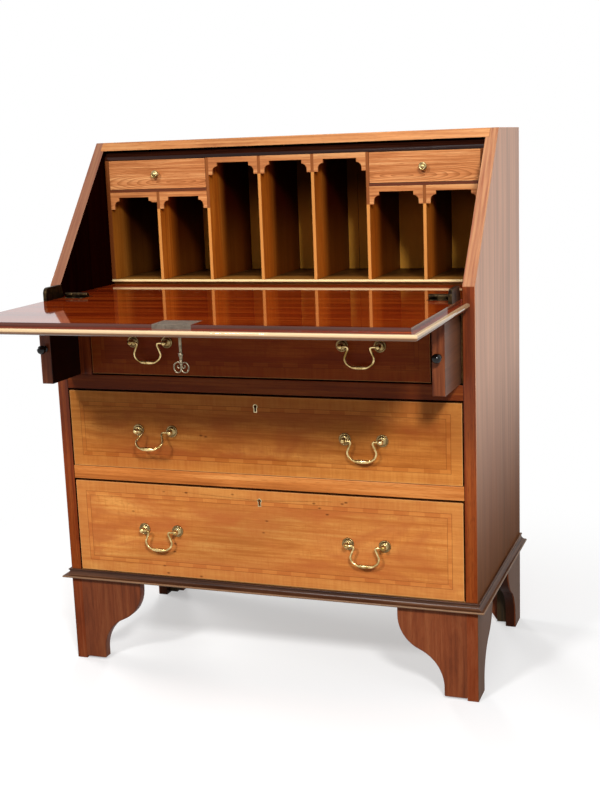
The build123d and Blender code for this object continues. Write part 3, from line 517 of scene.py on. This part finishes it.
def metal(name, dark, light, roughness, mottle_mm):
    """Worn metal: its colour goes between bright rubbed places and dull ones, and dull places are rougher."""
    material, tree = blank(name)
    mottle = streaks(tree, "X", mottle_mm, mottle_mm, 2.0, 0.4)
    scratches = streaks(tree, "X", 9, 0.6, 2.0, 0.0)
    ramp = add(tree, "ValToRGB", {"stops": [(0.34, dark), (0.62, light)]}, {"Fac": mottle})
    rough = add(tree, "MapRange", {"span": (0.3, 0.7, roughness + 0.12, roughness - 0.06)}, {"Value": mottle})
    marks = add(tree, "Bump", None, {"Strength": 0.025, "Distance": 0.0001, "Height": scratches})
    surface = {"Base Color": ramp, "Metallic": 1.0, "Roughness": rough, "Normal": marks}
    shader = add(tree, "BsdfPrincipled", {"name": "finish"}, surface)
    add(tree, "OutputMaterial", None, {"Surface": shader})
    return material


def flow(points, per_span):
    """A smooth line through points: each span is a cubic whose slope at a point is half the step past it."""
    points = np.asarray(points, float)
    ends = np.concatenate([2 * points[:1] - points[1:2], points, 2 * points[-1:] - points[-2:-1]])
    before, first, second, after = (ends[k:len(ends) - 3 + k, None, :] for k in range(4))
    t = np.linspace(0, 1, per_span, endpoint=False)[None, :, None]
    line = 0.5 * (
        2 * first
        + (second - before) * t
        + (2 * before - 5 * first + 4 * second - after) * t**2
        + (3 * first - before - 3 * second + after) * t**3
    )
    return np.concatenate([line.reshape(-1, points.shape[1]), points[-1:]])


def turned(profile, centre, steps=48):
    """A turned piece standing out along -Y: (radius, distance) rows in mm spun round the axis through centre.

    x is radius times cosine, z is radius times sine, and y goes back by the distance.
    """
    radius, out = (np.asarray(profile, float).T / 1000)[:, :, None]
    angle = np.linspace(0, 2 * np.pi, steps + 1)[None, :]
    ring = np.stack([radius * np.cos(angle), -out + 0 * angle, radius * np.sin(angle)], axis=-1)
    return ring + centre


# Lacquered brass gone dull: warm yellow where fingers rub it, brown-green in the hollows.
aged_brass = metal("cast_brass_aged", "#80693a", "#d6c28e", 0.28, 9)
knob_profile = np.concatenate(
    [
        [(0, 0), (4.6, 0), (4.6, 0.9)],
        flow([(4.2, 1.3), (3.0, 2.2), (2.7, 4.2), (3.4, 5.6), (5.6, 6.4)], 5),
        flow([(7.4, 7.6), (8.0, 9.4), (7.4, 11.4), (5.6, 13.0)], 6),
        [(5.0, 12.6), (4.2, 12.5)],
        flow([(3.4, 13.1), (1.8, 13.8), (0, 14.0)], 5),
    ]
)
for side in ("left", "right"):
    front_low, front_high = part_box(f"small_drawer_{side}_front")
    middle = ((front_low.x + front_high.x) / 2, front_low.y, (front_low.z + front_high.z) / 2)
    knob = skin(f"small_drawer_{side}_turned_knob", [turned(knob_profile, middle)], aged_brass)
    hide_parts(f"small_drawer_{side}_knob")
    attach(knob, f"small_drawer_{side}")


# Fall
# One mahogany board that shuts over the nest: a raised field between the sides and a rounded lip that
# lands on the slope. Its writing face has the brightest polish on the desk.

# Deep red french polish with a mirror gloss. The lip's edges are worn brown, with a pale band along its
# rounded nose as a painted highlight, and the upright edge round the field keeps a dark stain.
fall_wood = polished_wood(
    "french_polished_mahogany_fall", "X", "#561606", "#862a0a", "#a84a14", 0.34, 1.4, (620, 26), 1.0
)
fall_low, fall_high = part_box("fall_board")
lip_rub = (0.004, 0.008)
lip_highlight_z = (fall_low.z + 0.0045, fall_low.z + 0.0062)
tree, x, y, z = place_in(fall_wood)
fall_out = add(tree, "Math", "ABSOLUTE", {0: x})
fall_end = add(tree, "Math", "SUBTRACT", {0: fall_high.x, 1: fall_out})
fall_front = add(tree, "Math", "SUBTRACT", {0: y, 1: fall_low.y})
fall_edge = add(tree, "Math", "MINIMUM", {0: fall_end, 1: fall_front})
lip_edge_wear_and_highlight = add(tree, "MapRange", {"span": (*lip_rub, 1.0, 0.0)}, {"Value": fall_edge})
# Painted highlight: a pale band along the lip's rounded nose.
lip_highlight_band = add(tree, "MapRange", {"span": (*lip_highlight_z, 0.0, 0.95)}, {"Value": z})
lay_over(fall_wood, [lip_edge_wear_and_highlight], "#7c5230")
lay_over(fall_wood, [lip_edge_wear_and_highlight, lip_highlight_band], "#dcbc90")
field_front = -0.3588
field_half = 0.3765
field_skin = 0.0006
lip_thick = 0.0106
above_lip = add(tree, "Math", "GREATER_THAN", {0: z, 1: fall_low.z + lip_thick})
before_field = add(tree, "Math", "LESS_THAN", {0: y, 1: field_front + field_skin})
beside_field = add(tree, "Math", "GREATER_THAN", {0: fall_out, 1: field_half - field_skin})
round_field = add(tree, "Math", "MAXIMUM", {0: before_field, 1: beside_field})
lay_over(fall_wood, [round_field, above_lip, 0.75], "#3c241a")
dress(["fall_board"], fall_wood, 0.7)


# Hinges and arms
# Cast brass butt hinges let in flush and screwed, with three knuckles on a raised barrel, and two brass
# plates on edge at the ends of the fall.

# Brass left to tarnish, and painted darker still as painted shade: nearly black, with a brown gleam where it
# has been touched.
dark_brass = metal("cast_brass_tarnished_and_painted_shade", "#140e0a", "#40321f", 0.42, 9)
dress(["hinge_leaves_flat", "hinge_leaves_fall"], dark_brass, 0.3)
dress(["fall_arms"], dark_brass, 0.5)


def screw_heads(name, centres, radius_mm, rise_mm, material, seed):
    """Slotted screw heads facing up: each is two half domes that stand either side of a 0.7 mm slot.

    Height falls from rise_mm by the square of the share of the radius, and each head is turned at random.
    """
    slot_mm = 0.7
    dome_fall = 0.75
    share = np.linspace(0, 1, 6)[:, None]
    angle = np.linspace(-np.pi / 2, np.pi / 2, 13)[None, :]
    across = slot_mm / 2 + (radius_mm - slot_mm / 2) * share * np.cos(angle)
    along = radius_mm * share * np.sin(angle)
    height = rise_mm * (1 - dome_fall * share**2) + 0 * angle
    dome = np.stack([across, along, height], axis=-1)
    foot = dome[-1:] * [1, 1, 0]
    near_wall = np.concatenate([dome[:, [0]] * [1, 1, 0], dome[:, [0]]], axis=1)
    far_wall = np.concatenate([dome[:, [-1]] * [1, 1, 0], dome[:, [-1]]], axis=1)
    half_head = (np.concatenate([dome, foot]), near_wall, far_wall)
    turns = np.random.default_rng(seed).uniform(0, np.pi, len(centres))
    patches = []
    for centre, turn in zip(centres, turns):
        for half in (turn, turn + np.pi):
            cos, sin = math.cos(half), math.sin(half)
            spin = np.array([[cos, sin, 0], [-sin, cos, 0], [0, 0, 1]])
            patches += [grid @ spin / 1000 + centre for grid in half_head]
    return skin(name, patches, material, 35)


flat_leaf_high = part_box("hinge_leaves_flat")[1]
fall_leaf_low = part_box("hinge_leaves_fall")[0]
leaf_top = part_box("writing_flat")[1].z
leaf_length = 0.046
leaf_middle = flat_leaf_high.x - leaf_length / 2
leaf_steps = (-0.016, 0.0, 0.016)
leaf_screw_x = [sign * (leaf_middle + step) for sign in (-1, 1) for step in leaf_steps]
leaf_screw_mm = (2.6, 0.5)
leaf_margin = 0.008
for leaf, body, screw_y, seed in (
    ("flat", "carcass", flat_leaf_high.y - leaf_margin, 3),
    ("fall", "fall", fall_leaf_low.y + leaf_margin, 5),
):
    centres = [(screw_x, screw_y, leaf_top) for screw_x in leaf_screw_x]
    leaf_screws = screw_heads(f"hinge_screws_{leaf}", centres, *leaf_screw_mm, aged_brass, seed)
    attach(leaf_screws, body)


# Fall lock and key
# A steel lock let into the writing face and screwed, with its bolt in the front edge, and an iron key
# that hangs from the outer face by its shank.

# Rolled steel gone grey-brown and dull, and a forged key that pockets have kept brighter.
lock_steel = metal("rolled_steel_lock_plate", "#6e665a", "#8c8476", 0.4, 18)
key_steel = metal("forged_steel_key", "#5f5444", "#93876f", 0.34, 6)
dress(["fall_lock_case", "fall_lock_bolt"], lock_steel, 0.3)
case_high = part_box("fall_lock_case")[1]
lock_half_width = 0.033
lock_margin = 0.006
bolt_margin = 0.008
lock_screw_mm = (2.4, 0.4)
lock_screw_x = lock_half_width - lock_margin
lock_screw_y = (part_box("fall_lock_bolt")[0].y + bolt_margin, case_high.y - lock_margin)
centres = [(x, y, case_high.z) for x in (-lock_screw_x, lock_screw_x) for y in lock_screw_y]
lock_screws = screw_heads("fall_lock_screws", centres, *lock_screw_mm, lock_steel, 8)
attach(lock_screws, "fall")

key_low, key_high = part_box("fall_key")
key_x = (key_low.x + key_high.x) / 2
key_y = (key_low.y + key_high.y) / 2
bow_half = 0.0093
bow_z = key_low.z + bow_half
lobe_x = 0.006
notch_up = 0.0059
notch_z = bow_z + notch_up
shank_sunk_mm = 1.5
shank_mm = (key_high.z - notch_z) * 1000 + shank_sunk_mm
shank_profile = np.concatenate(
    [
        [(0, 0), (2.5, 0)],
        flow([(2.4, 4), (2.3, shank_mm - 22), (2.6, shank_mm - 19.5), (3.9, shank_mm - 16.5)], 5),
        flow([(3.6, shank_mm - 14.5), (2.5, shank_mm - 11), (2.4, shank_mm - 7), (3.6, shank_mm - 4.5)], 5),
        flow([(3.6, shank_mm - 3.4), (2.4, shank_mm - 1.6), (0, shank_mm)], 5),
    ]
)
radius, drop = (shank_profile.T / 1000)[:, :, None]
angle = np.linspace(0, 2 * np.pi, 33)[None, :]
shank = np.stack([radius * np.cos(angle), radius * np.sin(angle), -drop + 0 * angle], axis=-1)
shank = shank + [key_x, key_y, key_high.z]
round_lobe = np.linspace(0, 2 * np.pi, 65)[:, None]
section = np.linspace(0, 2 * np.pi, 17)[None, :]


def lobe(hand):
    """One lobe of the bow: an oval of 13.2 by 16.2 mm carries a section 2.4 mm wide and 3 mm thick."""
    half_wide, half_high = 0.0066, 0.0081
    wire, half_thick = 0.0012, 0.0015
    across = key_x + hand * (lobe_x + (half_wide + wire * np.cos(section)) * np.cos(round_lobe))
    out = key_y + half_thick * np.sin(section) + 0 * round_lobe
    up = bow_z + (half_high + wire * np.cos(section)) * np.sin(round_lobe)
    return np.stack([across, out, up], axis=-1)


def scroll(hand):
    """A curl inside a lobe: a wire whose distance from the curl's middle shrinks evenly as it turns."""
    steps = 40
    middle_x, middle_z = 0.0045, 0.0018
    turn = np.linspace(math.radians(115), math.radians(430), steps)[:, None]
    reach = np.linspace(0.0042, 0.0012, steps)[:, None]
    wire = np.full((steps, 1), 0.001)
    wire[[0, -1]] = 0
    across = (reach + wire * np.cos(section)) * np.cos(turn)
    up = (reach + wire * np.cos(section)) * np.sin(turn)
    out = key_y + wire * np.sin(section)
    return np.stack([key_x + hand * (middle_x + across), out, bow_z + middle_z + up], axis=-1)


key = skin("fall_lock_key", [shank, lobe(1), lobe(-1), scroll(1), scroll(-1)], key_steel)
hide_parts("fall_key")
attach(key, "key")


# Lopers
# Two boards on edge that slide out of the carcass to carry the fall, each faced at its front end by a slip
# of upright grain. Each has a turned knob, ebonised and polished, on its front end.

# Polish worn by handling. The inner faces are painted dark as painted shade, and the outer ones grey-brown.
loper_wood = polished_wood(
    "polished_mahogany_lopers", "Y", "#521e0a", "#7a381a", "#98542c", 0.36, 1.3, (300, 22)
)
loper_low, loper_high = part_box("loper_right")
loper_skin = 0.0005
slip_skin = 0.0008
tree, x, y, z = place_in(loper_wood)
loper_out = add(tree, "Math", "ABSOLUTE", {0: x})
loper_inside = add(tree, "Math", "LESS_THAN", {0: loper_out, 1: loper_low.x + loper_skin})
loper_outside = add(tree, "Math", "GREATER_THAN", {0: loper_out, 1: loper_high.x - loper_skin})
# Painted shade: the inner faces are painted dark.
lay_over(loper_wood, [loper_inside], "#3a2622", "MULTIPLY")
lay_over(loper_wood, [loper_outside, 0.55], "#6e5644")
loper_end = add(tree, "Math", "LESS_THAN", {0: y, 1: loper_low.y + slip_skin})
end_lines = streaks(tree, "Z", 110, 6, 3.0, 0.3)
end_grain = add(tree, "ValToRGB", {"stops": [(0.36, "#622c14"), (0.64, "#8e4c2a")]}, {"Fac": end_lines})
lay_over(loper_wood, [loper_end], end_grain)
dress(["loper_left", "loper_right"], loper_wood, 0.6)
# Black stain under polish: it shows as black, with one bright spot from each light.
ebonised = polished_wood(
    "ebonised_turned_knobs", "Y", "#050404", "#0b0807", "#17110d", 0.22, 1.5, (30, 3), 0.6
)
globe_mm = 8
globe_out_mm = 12
globe = np.linspace(math.radians(38), math.pi, 22)
loper_knob_profile = np.concatenate(
    [
        [(0, 0), (6.0, 0), (6.0, 1.0)],
        flow([(5.6, 1.6), (4.2, 2.6), (3.9, 4.0), (4.6, 5.2)], 5),
        np.stack([globe_mm * np.sin(globe), globe_out_mm - globe_mm * np.cos(globe)], axis=-1),
    ]
)
for side in ("left", "right"):
    end_low, end_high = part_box(f"loper_{side}")
    middle = ((end_low.x + end_high.x) / 2, end_low.y, (end_low.z + end_high.z) / 2)
    knob = skin(f"loper_{side}_turned_knob", [turned(loper_knob_profile, middle)], ebonised)
    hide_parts(f"loper_{side}_knob")
    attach(knob, f"loper_{side}_body")


# Long drawers
# Mahogany fronts with a crossbanded margin and an inlaid band between fine dark lines, lapped
# dovetailed to thin sides, with a loose bottom in grooves. The fronts are waxed and faded by light.

def inlaid_front(name, node, dark, mid, light, band_pale, band_dark, ruddy):
    """A drawer front's wood with ruddy patches and cross ripple, and its inlay laid out from the edges.

    From the edge inwards: 20 mm of crossbanding with its grain towards the edge, a 1 mm dark line, a 7 mm
    band of pale and red lengths, another line, then the field. Its arris is rubbed pale, its edges behind
    the face are painted dark as painted shade in the gaps, and pin knots are short dark dashes, 20 mm apart
    in a few clusters.
    """
    margin_wide = 0.020
    outer_line_in, inner_line_in, line_half = 0.0202, 0.0282, 0.0005
    band_in, band_half, band_repeat = 0.0242, 0.0036, 0.056
    face_deep, arris_wide, gap_shade_from = 0.001, 0.0012, 0.0016
    knot_pitch_mm = 20
    material = polished_wood(name, "X", dark, mid, light, 0.4, 1.2, (260, 34))
    low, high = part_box(node)
    tree, x, y, z = place_in(material)
    for pattern, span, ink in (
        (streaks(tree, "X", 230, 95, 3.0, 1.2), (0.44, 0.62, 0.0, 0.75), ruddy),
        (streaks(tree, "Z", 26, 3.4, 2.0, 0.4), (0.5, 0.72, 0.0, 0.3), dark),
        (streaks(tree, "X", 46, 1.5, 3.0, 0.5), (0.58, 0.74, 0.0, 0.4), band_pale),
    ):
        lay_over(material, [add(tree, "MapRange", {"span": span}, {"Value": pattern})], ink)

    side = add(tree, "Math", "ABSOLUTE", {0: x})
    from_end = add(tree, "Math", "SUBTRACT", {0: high.x, 1: side})
    level = add(tree, "Math", "SUBTRACT", {0: z, 1: (low.z + high.z) / 2})
    rise = add(tree, "Math", "ABSOLUTE", {0: level})
    from_top = add(tree, "Math", "SUBTRACT", {0: (high.z - low.z) / 2, 1: rise})
    near = add(tree, "Math", "MINIMUM", {0: from_end, 1: from_top})
    at_end = add(tree, "Math", "LESS_THAN", {0: from_end, 1: from_top})
    on_face = add(tree, "Math", "LESS_THAN", {0: y, 1: low.y + face_deep})

    upright = streaks(tree, "Z", 120, 7, 3.0, 0.3)
    across = streaks(tree, "X", 120, 7, 3.0, 0.3)
    cross = add(tree, "Mix", {"data_type": "FLOAT"}, {"Factor": at_end, "A": upright, "B": across})
    margin_colour = add(tree, "ValToRGB", {"stops": [(0.32, mid), (0.64, light)]}, {"Fac": cross})
    margin = add(tree, "Math", "LESS_THAN", {0: near, 1: margin_wide})
    run = add(tree, "Mix", {"data_type": "FLOAT"}, {"Factor": at_end, "A": x, "B": z})
    step = add(tree, "Math", "DIVIDE", {0: run, 1: band_repeat})
    part = add(tree, "Math", "FRACT", {0: step})
    pale = add(tree, "Math", "LESS_THAN", {0: part, 1: 0.5})
    band_inks = {"A": linear(band_dark), "B": linear(band_pale)}
    lengths = add(tree, "Mix", {"data_type": "RGBA"}, {"Factor": pale, **band_inks})
    band = add(tree, "Math", "COMPARE", {0: near, 1: band_in, 2: band_half})
    outer_line = add(tree, "Math", "COMPARE", {0: near, 1: outer_line_in, 2: line_half})
    inner_line = add(tree, "Math", "COMPARE", {0: near, 1: inner_line_in, 2: line_half})
    line = add(tree, "Math", "MAXIMUM", {0: outer_line, 1: inner_line})
    edge_wear_and_shade = add(tree, "Math", "LESS_THAN", {0: near, 1: arris_wide})
    behind = add(tree, "Math", "GREATER_THAN", {0: y, 1: low.y + gap_shade_from})
    lay_over(material, [margin, on_face, 0.4], margin_colour)
    lay_over(material, [band, on_face, 0.4], lengths)
    lay_over(material, [line, on_face, 0.5], "#6a2a0c")
    lay_over(material, [edge_wear_and_shade, on_face, 0.4], "#d8a468")

    half_x = add(tree, "Math", "MULTIPLY", {0: x, 1: 0.5})
    flat = add(tree, "CombineXYZ", None, {"X": half_x, "Y": z})
    knot_scale = 1000 / knot_pitch_mm
    cells = add(tree, "TexVoronoi", {"voronoi_dimensions": "2D"}, {"Vector": flat, "Scale": knot_scale})
    dash = add(tree, "MapRange", {"span": (0.03, 0.11, 0.75, 0.0)}, {"Value": cells.outputs["Distance"]})
    knotty = streaks(tree, "X", 120, 60, 0.0, 0.0)
    cluster = add(tree, "MapRange", {"span": (0.7, 0.75)}, {"Value": knotty})
    lay_over(material, [dash, cluster], "#4a1a06")
    # Painted shade: the edges behind the face are painted dark, for the gaps round the drawer.
    lay_over(material, [edge_wear_and_shade, behind, 0.8], "#34180a")
    return material


# Waxed and faded mahogany: orange-brown and satin, and ruddier where polish has lasted. The top drawer's
# front is painted much darker, and the middle one's a little darker, as painted shade under the fall. Oak
# sides and pine bottoms are bare, pale and dull.
front_woods = {
    "top_drawer": ("#7a2e0a", "#944012", "#ac5a20", "#aa561e", "#8c3c10", "#7c2c08"),
    "middle_drawer": ("#a45a20", "#c27632", "#d69046", "#d6863c", "#ba6828", "#a65424"),
    "bottom_drawer": ("#b06228", "#ca7e3c", "#da964e", "#dc8c44", "#c26e32", "#b66230"),
}
drawer_lining = polished_wood(
    "planed_oak_drawer_sides", "Y", "#8a6334", "#b48b54", "#cfae7c", 0.6, 1.45, (320, 12)
)
drawer_floor = polished_wood(
    "planed_pine_drawer_bottoms", "X", "#8a6334", "#b9925a", "#d4b482", 0.62, 1.45, (420, 16)
)
# The grain of a drawer's back runs across.
back_thick = 0.011
back_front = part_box("bottom_drawer_sides")[1].y - back_thick
tree, x, y, z = place_in(drawer_lining)
turn_grain(drawer_lining, add(tree, "Math", "GREATER_THAN", {0: y, 1: back_front}))
for drawer, colours in front_woods.items():
    front_wood = inlaid_front(f"waxed_inlaid_mahogany_{drawer}", f"{drawer}_front", *colours)
    dress([f"{drawer}_front"], front_wood, 0.7)
    dress([f"{drawer}_sides"], drawer_lining, 0.5)
    dress([f"{drawer}_bottom"], drawer_floor, 0.4)
# A drawn brass thread, bright at the front; behind its front 1 mm the thread and the lock are painted black
# as painted shade inside the keyhole.
thread_brass = metal("drawn_brass_thread_and_lock", "#a8956a", "#e4d4a8", 0.24, 14)
drawer_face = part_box("bottom_drawer_front")[0].y
thread_deep = 0.001
tree, x, y, z = place_in(thread_brass)
keyhole_shade = add(tree, "Math", "GREATER_THAN", {0: y, 1: drawer_face + thread_deep})
lay_over(thread_brass, [keyhole_shade], "#060504")
for drawer in ("middle_drawer", "bottom_drawer"):
    dress([f"{drawer}_lock"], thread_brass, 0.2)
    dress([f"{drawer}_lock_bolt"], lock_steel, 0.3)


# Drawer handles
# Cast brass swan-neck handles: a ringed rose and a ball post at each end, nutted through the front, and
# a bail with a swelling grip that swings in the balls.
ball_mm = 5.0
ball_out_mm = 13.0
neck_mm = 2.7
ball = np.linspace(math.asin(neck_mm / ball_mm), math.pi, 20)
post_profile = np.concatenate(
    [
        [(0, 0), (11.2, 0), (11.2, 0.8)],
        flow([(11.1, 1.4), (10.5, 2.3), (9.7, 2.5), (9.0, 2.0), (8.3, 1.8)], 4),
        flow([(7.6, 2.6), (6.4, 3.7), (4.8, 4.3), (3.6, 5.0), (2.9, 6.4), (2.7, 8.0)], 5),
        np.stack([ball_mm * np.sin(ball), ball_out_mm - ball_mm * np.cos(ball)], axis=-1),
    ]
)
half_route = [(32.5, 0), (26.5, 0), (21.3, -0.8), (20.4, -4.6), (24.2, -13.6), (26.4, -21.2), (23.0, -29.4)]
half_route += [(14.6, -35.2), (7, -36), (0, -36)]
bail_route = flow(half_route + [(-x, z) for x, z in half_route[-2::-1]], 12)


def carried_wire(route, centre, raised_deg):
    """A round wire carried along a flat route in mm, then swung about the post line by raised_deg.

    Its radius is 2.0 mm and swells to 3.8 mm at the grip, by one less the square of the share of the grip's
    half length.
    """
    wire_mm, swell_mm = 2.0, 1.8
    grip_half_mm, grip_below_mm = 15, -30
    x, z = route.T
    grip = np.where(z < grip_below_mm, np.clip(1 - (x / grip_half_mm) ** 2, 0, 1), 0)
    wire = wire_mm + swell_mm * grip
    slope = np.gradient(route, axis=0)
    slope = slope / np.linalg.norm(slope, axis=1, keepdims=True)
    angle = np.linspace(0, 2 * np.pi, 21)[None, :]
    inwards = wire[:, None] * np.cos(angle)
    grid_x = x[:, None] - slope[:, [1]] * inwards
    grid_z = z[:, None] + slope[:, [0]] * inwards
    grid_y = wire[:, None] * np.sin(angle)
    lift = math.radians(raised_deg)
    swung_y = grid_y * math.cos(lift) + grid_z * math.sin(lift)
    swung_z = grid_z * math.cos(lift) - grid_y * math.sin(lift)
    return np.stack([grid_x, swung_y, swung_z], axis=-1) / 1000 + centre


# Pale cast brass, rubbed bright on the bails and balls. The roses are painted browner towards the drawer
# front.
handle_brass = metal("cast_brass_handles", "#8c6e38", "#e8ce92", 0.25, 12)
rose_span = (drawer_face - 0.0075, drawer_face - 0.0035, 0.0, 0.7)
tree, x, y, z = place_in(handle_brass)
rose_face = add(tree, "MapRange", {"span": rose_span}, {"Value": y})
lay_over(handle_brass, [rose_face], "#6e5a3c")
handle_x = 0.201
post_half = 0.034
raised_deg = 42
for drawer, raised in (("top", None), ("middle", "left"), ("bottom", None)):
    face_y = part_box(f"{drawer}_drawer_front")[0].y
    posts_low, posts_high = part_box(f"{drawer}_drawer_handle_posts")
    handle_z = (posts_low.z + posts_high.z) / 2
    places = [sign * handle_x + end * post_half for sign in (-1, 1) for end in (-1, 1)]
    posts = [turned(post_profile, (x, face_y, handle_z), 40) for x in places]
    posts = skin(f"{drawer}_drawer_roses_and_posts", posts, handle_brass)
    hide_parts(f"{drawer}_drawer_handle_posts")
    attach(posts, f"{drawer}_drawer")
    for side, sign in (("left", -1), ("right", 1)):
        pivot = (sign * handle_x, face_y - ball_out_mm / 1000, handle_z)
        wire = carried_wire(bail_route, pivot, raised_deg if side == raised else 0)
        bail = skin(f"{drawer}_drawer_swan_neck_{side}", [wire], handle_brass)
        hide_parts(f"{drawer}_drawer_bail_{side}")
        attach(bail, f"{drawer}_{side}_bail")


# Floor, light and camera
# A plain white floor that keeps the desk's shadow, a white surround, five soft boxes and the camera at
# the place that the photograph was taken from.

# Matt white paint: it shows white with a soft grey shadow, and throws back only a dim grey light.
floor_half = 30.0
floor_z = -0.0005
far_from = (0.5, 1.3)
edges = (-floor_half, floor_half)
floor_grid = np.array([[(x, y, floor_z) for x in edges] for y in edges])
floor_paint, tree = blank("matt_white_floor")
path = add(tree, "LightPath").outputs
seen = add(tree, "Math", "MAXIMUM", {0: path["Is Camera Ray"], 1: path["Is Glossy Ray"]})
floor_inks = {"A": linear("#8c8882"), "B": linear("#fbfbfb")}
floor_colour = add(tree, "Mix", {"data_type": "RGBA"}, {"Factor": seen, **floor_inks})
floor_shader = add(tree, "BsdfDiffuse", None, {"Color": floor_colour, "Roughness": 0.0})
floor_place = add(tree, "TexCoord").outputs["Object"]
reach = add(tree, "VectorMath", "LENGTH", {0: floor_place}).outputs["Value"]
far = add(tree, "MapRange", {**rising, "span": (*far_from, 0.4, 1.0)}, {"Value": reach})
far_seen = add(tree, "Math", "MULTIPLY", {0: far, 1: seen})
far_white = add(tree, "Emission", None, {"Color": (1, 1, 1, 1), "Strength": 1.0})
floor_mix = add(tree, "MixShader", None, {0: far_seen, 1: floor_shader, 2: far_white})
add(tree, "OutputMaterial", None, {"Surface": floor_mix})
floor = skin("floor", [floor_grid], floor_paint)

# The surround is white to the eye and in reflections, and gives the desk a weak even light.
surround_light = 0.24
surround = bpy.data.worlds.new("white_surround")
bpy.context.scene.world = surround
surround.use_nodes = True
tree = surround.node_tree
tree.nodes.clear()
path = add(tree, "LightPath").outputs
shown = add(tree, "Math", "MAXIMUM", {0: path["Is Camera Ray"], 1: path["Is Glossy Ray"]})
shown = add(tree, "Math", "MAXIMUM", {0: shown, 1: path["Is Transmission Ray"]})
strength = add(tree, "MapRange", {"span": (0.0, 1.0, surround_light, 1.0)}, {"Value": shown})
sky = add(tree, "Background", None, {"Color": (1, 1, 1, 1), "Strength": strength})
add(tree, "OutputWorld", None, {"Surface": sky})


def set_down(name, data, right, up, back, place):
    """Puts a lamp or the camera in the scene: its three directions and its place are its matrix's columns."""
    turn = np.eye(4)
    turn[:3] = np.stack([right, up, back, place], axis=1)
    stand = bpy.data.objects.new(name, data)
    bpy.context.scene.collection.objects.link(stand)
    stand.matrix_world = Matrix(turn.tolist())
    return stand


for name, place, aim, size, power in (
    ("front_soft_box", (-0.85, -3.2, 2.7), (0.0, 0.0, 0.6), 0.5, 74),
    ("right_soft_box", (1.7, -2.85, 2.55), (0.0, 0.0, 0.6), 0.5, 98),
    ("high_soft_box", (0.4, -1.0, 3.6), (0.0, 0.0, 0.6), 2.0, 30),
    ("left_soft_box", (-3.0, 0.9, 1.2), (0.0, 0.0, 0.5), 1.0, 50),
    ("back_soft_box", (-1.3, 2.9, 0.62), (0.0, 0.0, 0.5), 0.6, 56),
):
    lamp = bpy.data.lights.new(name, "AREA")
    lamp.size = size
    lamp.energy = power
    back = np.subtract(place, aim)
    back = back / np.linalg.norm(back)
    right = np.cross([0, 0, 1], back)
    right = right / np.linalg.norm(right)
    set_down(name, lamp, right, np.cross(back, right), back, place)

camera_place = (0.8329, -2.0814, 0.9751)
yaw, pitch, roll = np.radians([20.049, -11.45, 2.157])
level_ahead = np.array([-math.sin(yaw), math.cos(yaw), 0])
level_right = np.array([math.cos(yaw), math.sin(yaw), 0])
straight_down = np.array([0, 0, -1.0])
ahead = math.cos(pitch) * level_ahead - math.sin(pitch) * straight_down
down = math.cos(pitch) * straight_down + math.sin(pitch) * level_ahead
right = math.cos(roll) * level_right + math.sin(roll) * down
down = math.cos(roll) * down - math.sin(roll) * level_right
lens = bpy.data.cameras.new("camera")
lens.lens = 56.75
lens.sensor_width = 36
bpy.context.scene.camera = set_down("camera", lens, right, -down, -ahead, camera_place)
bpy.context.scene.view_settings.view_transform = "Standard"
